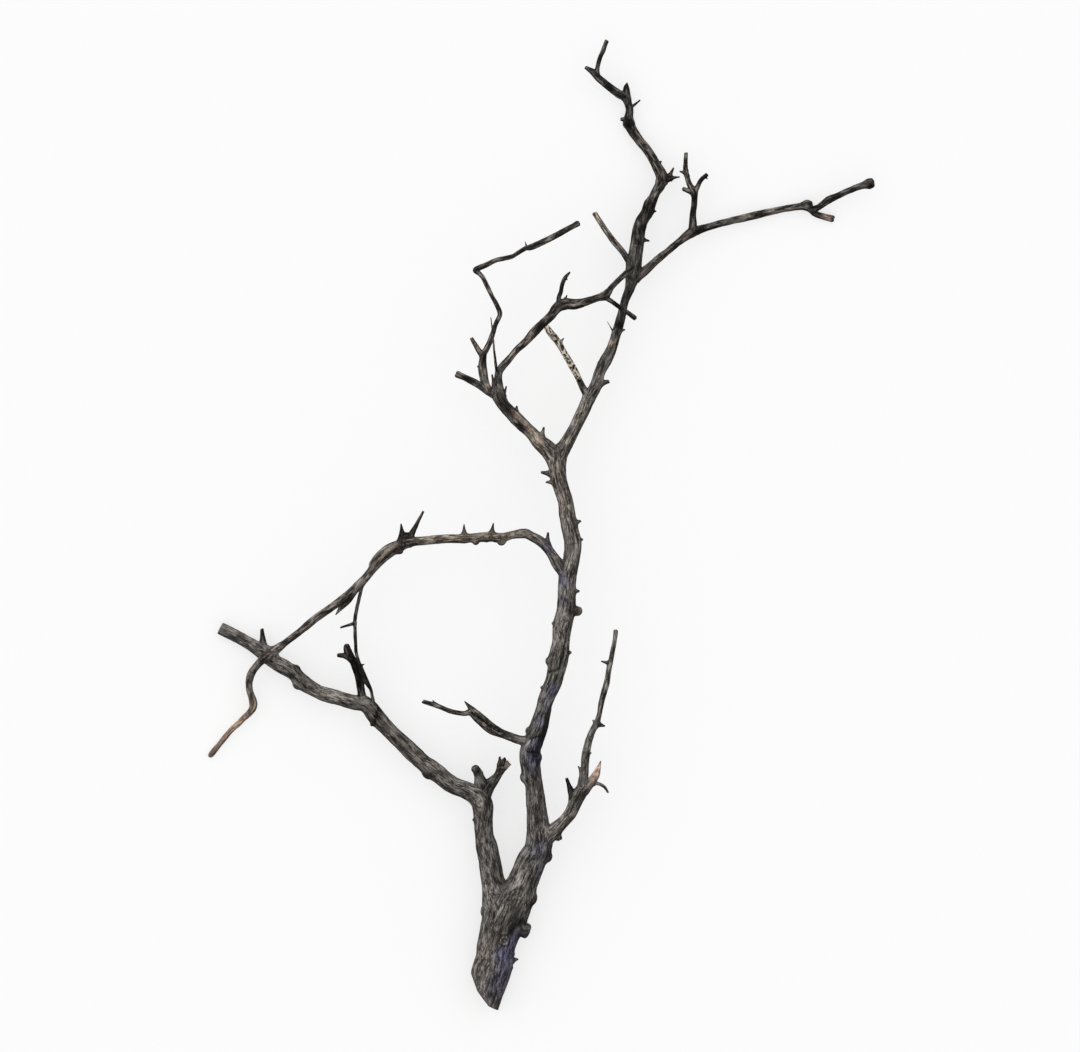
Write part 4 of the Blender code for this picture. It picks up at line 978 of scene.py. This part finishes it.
class Paint:
    """A material whose nodes are added one after another. Each method adds one kind of node and gives back
    its result, to be fed to the next."""

    def __init__(self, name):
        self.material = bpy.data.materials.new(name)
        self.material.use_nodes = True
        self.nodes = self.material.node_tree.nodes
        self.wire = self.material.node_tree.links.new
        self.shader = self.nodes["Principled BSDF"]

    def feed(self, socket, value):
        """Gives a socket another node's result, or a plain number or colour."""
        if isinstance(value, bpy.types.NodeSocket):
            self.wire(value, socket)
        else:
            socket.default_value = value

    def attribute(self, name, output="Fac"):
        """What the mesh stores at each vertex under a name."""
        node = self.nodes.new("ShaderNodeAttribute")
        node.attribute_name = name
        return node.outputs[output]

    def noise(self, vector, scale, detail, roughness):
        """Cloudy random values round a half."""
        node = self.nodes.new("ShaderNodeTexNoise")
        self.wire(vector, node.inputs["Vector"])
        node.inputs["Scale"].default_value = scale
        node.inputs["Detail"].default_value = detail
        node.inputs["Roughness"].default_value = roughness
        return node.outputs["Fac"]

    def noise_in_grain(self, grain, stretch, scale, detail, roughness):
        """Noise whose spots are drawn out along the grain: the smaller the stretch, the longer they are."""
        node = self.nodes.new("ShaderNodeMapping")
        self.wire(grain, node.inputs["Vector"])
        node.inputs["Scale"].default_value = (1, 1, stretch)
        return self.noise(node.outputs["Vector"], scale, detail, roughness)

    def growth_rings(self, grain):
        """Rings round the grain's middle, a little uneven."""
        node = self.nodes.new("ShaderNodeTexWave")
        node.wave_type = "RINGS"
        node.rings_direction = "Z"
        self.wire(grain, node.inputs["Vector"])
        node.inputs["Scale"].default_value = RING_SCALE
        node.inputs["Distortion"].default_value = RING_UNEVENNESS
        node.inputs["Detail Scale"].default_value = RING_DETAIL_SCALE
        return node.outputs["Fac"]

    def ramp(self, value, stops):
        """A colour for each value, blended between stops of (value, screen colour)."""
        node = self.nodes.new("ShaderNodeValToRGB")
        self.wire(value, node.inputs["Fac"])
        elements = node.color_ramp.elements
        while len(elements) < len(stops):
            elements.new(0.5)
        for element, (place, shade) in zip(elements, stops):
            element.position = place
            element.color = colour(*shade)
        return node.outputs["Color"]

    def spread(self, value, low, high, to_low, to_high):
        """The stretch from low to high of a value, mapped to one from to_low to to_high."""
        node = self.nodes.new("ShaderNodeMapRange")
        self.wire(value, node.inputs["Value"])
        for name, number in zip(("From Min", "From Max", "To Min", "To Max"), (low, high, to_low, to_high)):
            node.inputs[name].default_value = number
        return node.outputs["Result"]

    def maths(self, operation, first, second):
        """One operation of arithmetic on two values."""
        node = self.nodes.new("ShaderNodeMath")
        node.operation = operation
        self.feed(node.inputs[0], first)
        self.feed(node.inputs[1], second)
        return node.outputs["Value"]

    def mix(self, share, first, second, blend="MIX"):
        """The first colour with a share of the second laid over it, or multiplied into it."""
        node = self.nodes.new("ShaderNodeMix")
        node.data_type = "RGBA"
        node.blend_type = blend
        self.feed(node.inputs["Factor"], share)
        self.feed(next(s for s in node.inputs if s.identifier == "A_Color"), first)
        self.feed(next(s for s in node.inputs if s.identifier == "B_Color"), second)
        return next(s for s in node.outputs if s.identifier == "Result_Color")

    def bump(self, height, strength, distance):
        """Small roughness that only the light sees."""
        node = self.nodes.new("ShaderNodeBump")
        node.inputs["Strength"].default_value = strength
        node.inputs["Distance"].default_value = distance
        self.wire(height, node.inputs["Height"])
        self.wire(node.outputs["Normal"], self.shader.inputs["Normal"])


print("screen colour 128 as light:", round(colour(128, 128, 128)[0], 3))

# %% [markdown]
# ## The bark's pattern
#
# The bark's colour is built up from noises of falling size. Strands 1 mm wide carry three colours, and finer
# specks wear them light or pit them dark. Blotches some millimetres long are darker or more weathered, and
# so are patches as long as a finger. Cracks and the sides that face down are darkened as painted shade.
# Tints come last: warm, pale, violet and char multiply the pattern, so that it shows through them, while
# bare wood covers it. Char spots also paint shadow in a few splits and gaps and where limbs cross.

# %% Bark pattern
STRANDS = (0.16, 900, 5, 0.75)      # each noise: its stretch, scale, detail and roughness
SPECKS = (0.45, 1700, 3, 0.8)
BLOTCHES = (0.22, 330, 3, 0.6)
FLAKES = (0.6, 480, 3, 0.7)
PATCHES = (60, 4, 0.6)
# near-black of char on the bark, also the colour of painted shade in cracks and on downward sides
CHAR_AND_SHADE = (20, 18, 17)
GAINS = {
    "warm": (1.2, 1.04, 0.86, 1.0),
    "pale": (2.0, 1.98, 1.86, 1.0),
    "violet": (0.8, 0.84, 1.5, 1.0),
    "char": (0.12, 0.11, 0.105, 1.0),
}
TINTS = (*GAINS, "bare")
BARE_WOOD = [(0.4, (128, 92, 76)), (0.52, (214, 180, 162)), (0.66, (240, 222, 210))]
CUT_WOOD = [(0.25, (66, 60, 55)), (0.75, (112, 102, 92))]
RING_SCALE = 200                    # growth rings 1.6 mm apart
RING_UNEVENNESS = 2.5
RING_DETAIL_SCALE = 1.5
ROUGHNESS = 0.85
SHEEN = 0.12
BUMP_STRENGTH = 0.9
BUMP_DISTANCE = 0.9 * MM


def weathered_and_shaded(paint, grain, strand, specks, shades, places, weathering):
    """The strands in three shades, dark, middle and light, at three places of their noise, and over them
    specks, blotches and patches, then painted shade in cracks and on the sides that face down, in turn."""
    dark, light, char = colour(*shades[0]), colour(*shades[2]), colour(*CHAR_AND_SHADE)
    blotches = paint.noise_in_grain(grain, *BLOTCHES)
    patches = paint.noise(paint.nodes.new("ShaderNodeTexCoord").outputs["Object"], *PATCHES)
    tone = paint.ramp(strand, list(zip(places, shades)))
    tone = paint.mix(paint.spread(specks, 0.52, 0.8, 0.0, 0.7), tone, light)
    tone = paint.mix(paint.spread(specks, 0.48, 0.26, 0.0, 0.85), tone, char)
    tone = paint.mix(paint.spread(blotches, 0.5, 0.36, 0.0, 0.85), tone, dark)
    tone = paint.mix(paint.spread(blotches, 0.53, 0.66, 0.0, weathering), tone, light)
    tone = paint.mix(paint.spread(patches, 0.5, 0.68, 0.0, 0.55), tone, dark)
    tone = paint.mix(paint.spread(patches, 0.45, 0.3, 0.0, 0.25), tone, light)
    # painted shade: the deep parts of the relief, cracks, scar grooves and clefts, are darkened
    tone = paint.mix(paint.spread(paint.attribute("relief"), -0.1, -0.9, 0.0, 0.75), tone, char)
    # painted shade: the sides and undersides, whose outward direction points less upwards, are darkened
    return paint.mix(paint.spread(paint.attribute("facing"), 0.62, 0.0, 0.0, 0.6), tone, char)


def bark_paint(name, dark, middle, light, places=(0.4, 0.51, 0.63), weathering=0.5, flake=None):
    """Weathered bark, with flakes of lichen on it where a flake's colour is given, then the tints, and
    growth rings on cut ends."""
    paint = Paint(name)
    grain = paint.attribute("grain", "Vector")
    strand = paint.noise_in_grain(grain, *STRANDS)
    specks = paint.noise_in_grain(grain, *SPECKS)
    tone = weathered_and_shaded(paint, grain, strand, specks, (dark, middle, light), places, weathering)
    if flake:
        flakes = paint.noise_in_grain(grain, *FLAKES)
        tone = paint.mix(paint.spread(flakes, 0.497, 0.53, 0.0, 0.97), tone, colour(*flake))
    for tint_name, gain in GAINS.items():
        share = paint.maths("MULTIPLY", paint.attribute(tint_name), paint.spread(specks, 0.3, 0.7, 0.6, 1.4))
        tone = paint.mix(share, tone, gain, "MULTIPLY")
    tone = paint.mix(paint.attribute("bare"), tone, paint.ramp(strand, BARE_WOOD))
    tone = paint.mix(paint.attribute("exposed"), tone, paint.ramp(paint.growth_rings(grain), CUT_WOOD))
    paint.wire(tone, paint.shader.inputs["Base Color"])
    paint.shader.inputs["Roughness"].default_value = ROUGHNESS
    paint.shader.inputs["Specular IOR Level"].default_value = SHEEN
    height = paint.maths("ADD", strand, paint.maths("MULTIPLY", specks, 0.5))
    paint.bump(height, BUMP_STRENGTH, BUMP_DISTANCE)
    return paint.material


print("tints:", TINTS)

# %% Bark materials
PAINTS = {
    "bark": bark_paint("bark_paint", (27, 24, 23), (80, 76, 73), (164, 158, 152)),
    "dark_bark": bark_paint("dark_bark_paint", (6, 5, 5), (36, 33, 32), (158, 150, 143),
                            places=(0.41, 0.54, 0.69), weathering=0.6),
    "twig_bark": bark_paint("twig_bark_paint", (24, 21, 20), (84, 78, 74), (188, 178, 168)),
    "lichen_bark": bark_paint("lichen_paint", (11, 9, 8), (44, 40, 35), (150, 140, 124),
                              flake=(228, 217, 198)),
}
print("materials:", sorted(PAINTS))

# %% [markdown]
# ## One piece for each stretch between forks
#
# Each piece takes its stretch out of the finished skins. Two neighbours share the whole ring at
# which they meet, so no seam shows between them. A stretch's open ends are closed with a point in the
# middle of the ring: the skin stays a closed one, as the real wood is solid.

# %% Pieces
GROUND = 0.0
MARKS = ("exposed", "relief", "facing")


def closed_tube(points):
    """Vertices and faces of a skin, closed at both ends on the middles of its first and last ring."""
    rings, sides, _ = points.shape
    vertices = np.vstack([points.reshape(-1, 3), points[0].mean(axis=0), points[-1].mean(axis=0)])
    ring = np.arange(rings - 1)[:, None] * sides
    this, following = np.arange(sides), (np.arange(sides) + 1) % sides
    quads = np.stack([ring + this, ring + sides + this, ring + sides + following, ring + following], axis=-1)
    first_pole, last_pole = rings * sides, rings * sides + 1
    last_ring = (rings - 1) * sides
    start = np.stack([np.full(sides, first_pole), this, following], axis=-1)
    stop = np.stack([np.full(sides, last_pole), last_ring + following, last_ring + this], axis=-1)
    return vertices, quads.reshape(-1, 4).tolist() + start.tolist() + stop.tolist()


def with_poles(values):
    """A skin's values as a list, with those of the two poles after them."""
    flat = values.reshape(-1, *values.shape[2:])
    first, last = (values[row, :1].reshape(1, *flat.shape[1:]) for row in (0, -1))
    return np.concatenate([flat, first, last])


def stretch_rows(limb, first, last):
    """The rows of a limb's skin from one station to another, with the end's own rows where it has them."""
    start = limb.at_station[first] + limb.rows_before if first else 0
    stop = limb.at_station[last] + limb.rows_before + 1
    if last == len(limb.at_station) - 1:
        stop = len(limb.points)
    return start, stop


def parts_of(stretches):
    """(limb, first row, last row) for each stretch, and for each thorn that grows from it."""
    parts = []
    for limb, first, last in stretches:
        parts.append((limb, *stretch_rows(limb, first, last)))
        first_ring, last_ring = limb.at_station[first], limb.at_station[last]
        for ring, grown in limb.thorns:
            if first_ring <= ring < max(last_ring, first_ring + 1):
                parts.append((grown, 0, len(grown.points)))
    return parts


def joined_mesh(name, parts):
    """One mesh of all parts' closed tubes. None of it lies below the ground."""
    vertices, faces = [], []
    count = 0
    for limb, start, stop in parts:
        own_vertices, own_faces = closed_tube(limb.points[start:stop])
        vertices.append(own_vertices)
        faces += [[corner + count for corner in face] for face in own_faces]
        count += len(own_vertices)
    vertices = np.vstack(vertices)
    vertices[:, 2] = np.maximum(vertices[:, 2], GROUND)
    mesh = bpy.data.meshes.new(name)
    mesh.from_pydata(vertices, [], faces)
    return mesh, vertices


def store(mesh, name, values):
    """One number for each vertex of the mesh, for the paint to read."""
    mesh.attributes.new(name, "FLOAT", "POINT").data.foreach_set("value", values)


# %% [markdown]
# ## Tints
#
# The pattern alone is the same all over the branch. On the real one, parts are charred or wet, others pale
# and worn, a few violet, and torn wood is bare. So each piece gets spots of tint, each a soft round patch of
# (x, y, radius, strength) on the drawing sheet. A few char spots paint shadow instead: in splits, in a gap
# and where limbs cross. Where two spots overlap, the second only tints what the first one left.

# %% Tints


def tint(vertices, spots):
    """How strong a tint is at each vertex: 1 minus the product of what each spot leaves, where a spot of
    (x, y, radius, strength) leaves 1 - strength * exp(-(distance / radius)^2)."""
    left = np.ones(len(vertices))
    for x, y, radius, strength in spots:
        away = np.linalg.norm(vertices[:, :2] - on_sheet(x, y)[:2], axis=1) / (radius * MM)
        left *= 1 - strength * np.exp(-away**2)
    return 1 - left


def dress(node, slot, stretches, **tints):
    """One piece in place of a node: the stretches of its limbs and the thorns that grow from them. The tints
    are warm, pale, violet, char and bare, each a list of spots; a few char spots are painted shadow. A
    thorn's darkness adds to the char."""
    parts = parts_of(stretches)
    mesh, vertices = joined_mesh(node + "_skin", parts)
    grain = np.vstack([with_poles(limb.grain[start:stop]) for limb, start, stop in parts])
    mesh.attributes.new("grain", "FLOAT_VECTOR", "POINT").data.foreach_set("vector", grain.ravel())
    for name in MARKS:
        store(mesh, name, np.concatenate([with_poles(limb.marks[name][start:stop])
                                          for limb, start, stop in parts]))
    darkness = np.concatenate([np.full((stop - start) * limb.sides + 2, limb.darkness)
                               for limb, start, stop in parts])
    for name in TINTS:
        values = tint(vertices, tints.get(name, ()))
        if name == "char":
            values = 1 - (1 - values) * (1 - darkness)
        store(mesh, name, values)
    mesh.materials.append(PAINTS[slot])
    mesh.shade_smooth()
    piece = bpy.data.objects.new(node + "_skin", mesh)
    bpy.context.scene.collection.objects.link(piece)
    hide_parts(node)
    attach(piece, ROOT_BODY)
    print(node, len(mesh.polygons), "faces")
    return piece


# %% Dress the trunk and the left limb
dress("trunk", "bark", [(stem, 0, 7), (left_limb, 0, 3)],
      warm=[(484, 953, 10, 0.4), (480, 972, 9, 0.3), (490, 940, 8, 0.3)],
      pale=[(487, 886, 7, 0.5), (520, 883, 7, 0.55), (517, 898, 7, 0.6), (501, 908, 6, 0.45),
            (509, 905, 4, 0.4), (531, 929, 3, 0.7), (504.5, 940.5, 5.5, 0.95), (530, 873, 4, 0.5),
            (523, 868, 6, 0.35)],
      violet=[(517, 934, 5, 0.9), (513, 942, 6, 0.9), (503, 953, 8, 0.85), (512, 953, 7, 0.85),
              (506, 965, 9, 0.7), (503, 978, 9, 0.55), (497, 990, 9, 0.45), (541, 868, 7, 0.4)],
      char=[(479, 935, 4, 0.5), (531, 934, 4, 0.6), (522, 922, 5, 0.7), (513, 933, 4, 0.65),
            (532, 905, 5, 0.6), (506, 884, 5, 0.6), (511, 926, 5, 0.4), (493, 925, 5, 0.35),
            (520, 936, 4, 0.5), (475, 978, 6, 0.35), (500, 1003, 9, 0.25), (510, 975, 5, 0.35),
            (536, 880, 5, 0.45), (497, 868, 6, 0.45)])
dress("left_limb_lower", "bark", [(left_limb, 3, 11), (right_stub, 0, 5), (left_stub, 0, 4)],
      pale=[(480.6, 803, 4.5, 0.6), (478, 795, 6, 0.25), (427, 763, 4, 0.4), (508, 766, 2.4, 0.9)],
      char=[(490, 784, 5, 0.7), (484, 788, 5, 0.55), (497, 777, 4, 0.45), (480, 776, 4, 0.35),
            (490, 800, 4, 0.4), (486, 845, 8, 0.2), (445, 770, 5, 0.35), (492, 812, 4, 0.4),
            (501, 764, 3, 0.5), (474, 768, 6, 0.5), (470, 800, 70, 0.15)],
      bare=[(508.6, 766, 2.0, 0.7)])
dress("left_limb_outer", "bark", [(left_limb, 11, 18), (burnt, 0, 1)],
      warm=[(400, 742, 40, 0.2)],
      char=[(377, 716, 4, 0.75), (379, 711, 4, 0.7), (374, 722, 4, 0.6), (372, 705, 4, 0.4),
            (400, 738, 7, 0.25), (400, 740, 60, 0.22)])
# the char spot at (267, 655) is painted shadow where the arch's tail crosses over this limb
dress("left_limb_tip", "bark", [(left_limb, 18, 29)],
      pale=[(322, 690, 7, 0.5), (336, 697, 8, 0.3), (290, 671, 6, 0.3)],
      char=[(300, 683, 5, 0.6), (306, 686, 4, 0.4), (267, 655, 7, 0.5), (258, 648, 5, 0.4),
            (291, 676, 4, 0.4)])
dress("burnt_stub", "dark_bark", [(burnt, 1, 6), (burnt_arm, 0, 2)],
      char=[(352, 662, 20, 0.88), (358, 680, 13, 0.88), (362, 696, 8, 0.5)])

# %% Dress the right limb and the lower stem
dress("stem_lower", "bark", [(stem, 7, 12), (right_limb, 0, 3)],
      pale=[(545, 830, 6, 0.4), (552, 832, 5, 0.4), (528, 806, 4, 0.2)],
      violet=[(540, 850, 10, 0.45)],
      char=[(532, 847, 6, 0.3), (548, 856, 5, 0.5), (537, 812, 7, 0.2)])
# the three small char spots along the spike's split paint the shade inside it
dress("right_limb", "bark", [(right_limb, 3, 8), (shoot, 0, 3), (spike, 0, 4), (spike_twig, 0, 3)],
      pale=[(565, 815, 10, 0.5), (572, 806, 7, 0.5), (578, 796, 6, 0.35), (562, 822, 7, 0.4),
            (583, 786, 5, 0.4)],
      char=[(597.4, 769.6, 1.1, 0.9), (596, 773, 1.1, 0.9), (594.6, 776.2, 1.2, 0.85),
            (583, 779, 4, 0.65), (571, 795, 5, 0.5), (569, 787, 5, 0.4), (587, 790, 3, 0.4)],
      bare=[(598.4, 767, 4.5, 1.0), (595.6, 774, 3.6, 0.95), (592.6, 779, 3, 0.6)])
dress("right_shoot", "bark", [(shoot, 3, 13)],
      pale=[(604, 690, 30, 0.2), (590, 738, 8, 0.3)],
      char=[(600, 724, 6, 0.6), (603.5, 665, 4, 0.5), (580.5, 768, 3, 0.5), (588, 752, 3, 0.4)])
dress("stem_middle", "bark", [(stem, 12, 17), (low_twig, 0, 2)],
      pale=[(530, 741, 5, 0.3)],
      violet=[(534, 757, 7, 0.85), (536, 745, 7, 0.85), (533, 767, 6, 0.5), (541, 722, 7, 0.5)],
      char=[(531, 753, 4, 0.5), (538, 733, 5, 0.45), (542, 727, 4, 0.4), (529, 765, 3, 0.4)])
# the row of char spots from (475, 713.5) to (499, 731) paints the shade inside the split
dress("low_side_twig", "dark_bark", [(low_twig, 2, 10), (low_sliver, 0, 2)],
      pale=[(470, 709, 10, 0.4), (505, 737, 8, 0.6), (480, 713.4, 3.4, 0.95), (487, 718.2, 3.4, 0.95),
            (494, 723.4, 3.4, 0.95), (478, 720, 3.6, 0.95), (485, 725.4, 3.6, 0.95),
            (491, 730, 3.6, 0.95), (448, 702, 16, 0.45)],
      char=[(475, 713.5, 1.1, 0.95), (479, 716.4, 1.2, 0.95), (483, 719.3, 1.3, 0.98),
            (487, 722.2, 1.4, 0.98), (491, 725.1, 1.5, 0.98), (495, 728, 1.5, 0.98), (499, 731, 2, 0.95)])

# %% Dress the upper stem and the arch
dress("stem_upper", "bark", [(stem, 17, 29), (arch, 0, 2)],
      pale=[(562, 630, 60, 0.18), (569, 563, 6, 0.5), (562, 640, 9, 0.25), (564, 618, 8, 0.3),
            (566, 590, 6, 0.3), (553, 678, 5, 0.3)],
      violet=[(553, 690, 7, 0.7), (561, 580, 8, 0.55), (548, 704, 6, 0.4), (563, 600, 5, 0.4)],
      char=[(551, 668, 4, 0.4), (573, 611, 5, 0.4), (570, 650, 4, 0.4), (552, 661, 4, 0.3)])
dress("arch_limb", "bark", [(arch, 2, 17), (arch_strand, 0, 5)],
      warm=[(470, 538, 70, 0.55), (385, 556, 30, 0.35)],
      pale=[(455, 537, 22, 0.3), (425, 539, 14, 0.25), (505, 534, 16, 0.3), (386, 552, 7, 0.25)],
      violet=[(548, 549, 10, 0.45)],
      char=[(404, 535, 8, 0.85), (493, 529, 5, 0.7), (464.5, 529, 4, 0.6), (548, 536, 4, 0.6),
            (399, 552, 4, 0.5), (378, 562, 6, 0.45), (418, 546, 6, 0.3), (540, 549, 5, 0.25)])
# the char spot at (262, 663) is painted shadow where this tail crosses the left limb
dress("arch_tail", "twig_bark", [(arch, 17, 36), (hanging, 0, 3), (torn_stub, 0, 4)],
      warm=[(232, 728, 30, 0.7), (253, 704, 8, 0.4)],
      pale=[(228, 732, 22, 0.45), (363, 580, 5, 0.3), (338, 606, 2.4, 0.7), (249, 700, 6, 0.25)],
      char=[(346, 600, 6, 0.55), (351, 596, 5, 0.5), (262, 663, 6, 0.5), (330, 611, 6, 0.3),
            (290, 640, 14, 0.3), (252, 674, 6, 0.35), (247, 690, 5, 0.2)],
      bare=[(232, 728, 18, 0.3), (216, 749, 10, 0.2), (248, 711, 8, 0.2)])
dress("hanging_twig", "dark_bark", [(hanging, 3, 14)],
      pale=[(357, 605, 14, 0.35), (356, 636, 12, 0.25)],
      char=[(365, 684, 13, 0.85), (360, 664, 9, 0.6)])

# %% Dress the upper left limbs
dress("stem_neck", "bark", [(stem, 29, 35), (top_left, 0, 3), (leader, 0, 2)],
      warm=[(561, 485, 40, 0.3), (522, 424, 30, 0.35)],
      pale=[(562, 519, 5, 0.5), (558, 470, 9, 0.35), (538, 440, 9, 0.85), (530, 429, 8, 0.95),
            (548, 455, 8, 0.5), (568, 440, 7, 0.6), (569, 545, 6, 0.3), (564, 500, 8, 0.3)],
      char=[(573, 524, 4, 0.4), (546, 476, 4, 0.5), (556, 447, 4, 0.4), (577, 540, 3, 0.4)],
      bare=[(539, 441, 5, 0.17)])
dress("left_top_limb", "bark", [(top_left, 3, 8), (left_twig, 0, 3), (zigzag, 0, 2), (crossing, 0, 4),
                                (dry, 0, 2)],
      warm=[(522, 424, 30, 0.35)],
      pale=[(517, 415, 6, 0.9), (530, 429, 8, 0.95), (538, 440, 9, 0.85), (487, 391, 5, 0.4)],
      char=[(521, 427.5, 4, 0.8), (506, 408, 6, 0.65), (499, 396, 7, 0.6), (494, 388, 4, 0.5),
            (505, 399, 5, 0.7), (512, 414, 4, 0.5), (500, 382, 5, 0.5)],
      bare=[(488, 385, 2.6, 0.55), (517, 415, 4, 0.17), (526, 424, 4, 0.12), (531.5, 431, 5, 0.2),
            (539, 441, 5, 0.17)])
dress("left_stub_twig", "dark_bark", [(left_twig, 3, 5)],
      pale=[(466, 378, 10, 0.3)])
dress("zigzag_twig", "dark_bark", [(zigzag, 2, 25), (zigzag_side, 0, 2)],
      warm=[(474, 343, 8, 0.2), (500, 300, 60, 0.2)],
      pale=[(475, 345, 8, 0.9), (483, 372, 8, 0.5), (503, 312, 9, 0.3), (485, 285, 9, 0.3),
            (550, 240, 14, 0.3), (569, 228, 4, 0.7), (492, 264, 10, 0.3)],
      char=[(483, 354, 4, 0.5), (476, 271, 4, 0.4)],
      bare=[(473, 341, 5, 0.12)])
dress("crossing_limb", "dark_bark", [(crossing, 4, 19), (crossing_side, 0, 3), (crossing_shoot, 0, 5)],
      pale=[(525, 341, 12, 0.4), (509, 358, 8, 0.5), (565, 283, 4, 0.7), (575, 303, 8, 0.55),
            (593, 300, 6, 0.5), (622, 277, 8, 0.3)],
      char=[(559, 304, 6, 0.6), (603, 297, 5, 0.75), (614, 304, 8, 0.6), (541, 326, 6, 0.5),
            (562, 296, 4, 0.5), (628, 314, 5, 0.5), (610, 290, 4, 0.4)])
dress("dry_shoot", "dark_bark", [(dry, 2, 6)],
      pale=[(493, 345, 30, 0.3)])

# %% Dress the leader
dress("leader_lower", "bark", [(leader, 2, 7), (lichen_twig, 0, 2)],
      warm=[(576, 426, 14, 0.35)],
      pale=[(580, 418, 10, 0.45), (588, 403, 7, 0.4), (573, 432, 8, 0.4)],
      char=[(606, 382.5, 4, 0.5), (594, 392, 4, 0.3), (603, 366, 5, 0.3)])
dress("lichen_twig", "lichen_bark", [(lichen_twig, 2, 7)],
      char=[(579, 381, 4, 0.7), (553, 336, 4, 0.85), (561, 346, 2.2, 0.6), (568, 359, 2, 0.6),
            (573, 369, 2, 0.6)])
# the char spot at (629, 259) is painted shadow in the gap between the short twig and the leader
dress("leader_middle", "bark", [(leader, 7, 15), (short_twig, 0, 2), (right_branch, 0, 2)],
      warm=[(613, 345, 6, 0.6)],
      pale=[(613, 343, 3, 0.5)],
      char=[(630, 284, 34, 0.6), (619, 325, 7, 0.85), (614, 337, 4, 0.5), (626, 300, 20, 0.4),
            (636, 262, 12, 0.4), (629, 259, 3, 0.7)])
dress("short_left_twig", "twig_bark", [(short_twig, 2, 5)],
      warm=[(596, 216, 7, 0.3)],
      pale=[(596, 216, 6, 0.6), (608, 233, 16, 0.45)],
      char=[(622, 251, 5, 0.4)])
dress("leader_top", "dark_bark", [(leader, 15, 31), (old_stub, 0, 3), (top_stub, 0, 3), (top_side, 0, 2)],
      pale=[(655, 193, 4, 0.7), (642, 143, 8, 0.35), (632, 124, 6, 0.35)],
      char=[(640, 130, 70, 0.2), (646, 209, 9, 0.85), (640, 230, 16, 0.6), (628, 100, 8, 0.5),
            (627, 122, 5, 0.7), (660, 180, 8, 0.3)])
dress("leader_tip", "dark_bark", [(leader, 31, 35), (leader_shoot, 0, 4)],
      pale=[(604, 50, 12, 0.35)])

# %% Dress the right branch
dress("right_branch_inner", "dark_bark", [(right_branch, 2, 6), (upright, 0, 2)],
      pale=[(664, 254, 8, 0.35)],
      char=[(692, 233, 6, 0.7), (672, 248, 40, 0.2)])
dress("upright_twig", "dark_bark", [(upright, 2, 8), (upright_arm, 0, 3), (upright_stub, 0, 1)],
      pale=[(688, 182, 4, 0.6), (686, 172, 6, 0.5), (686, 160, 8, 0.3)],
      char=[(694, 214, 14, 0.5), (694, 195, 4, 0.6)])
dress("right_branch_outer", "dark_bark", [(right_branch, 6, 13), (end_twig, 0, 7), (end_stub, 0, 3)],
      pale=[(740, 218, 22, 0.4), (775, 209, 18, 0.5), (827, 216.6, 5, 0.95), (806, 203, 3.4, 0.6)],
      char=[(813, 208, 6.5, 0.97), (834.5, 219, 2, 0.6), (871, 183.5, 7.5, 0.97), (832, 199, 9, 0.6),
            (850, 191, 9, 0.45)],
      bare=[(825, 215.6, 2.4, 0.35), (829, 217.4, 2.8, 0.42)])
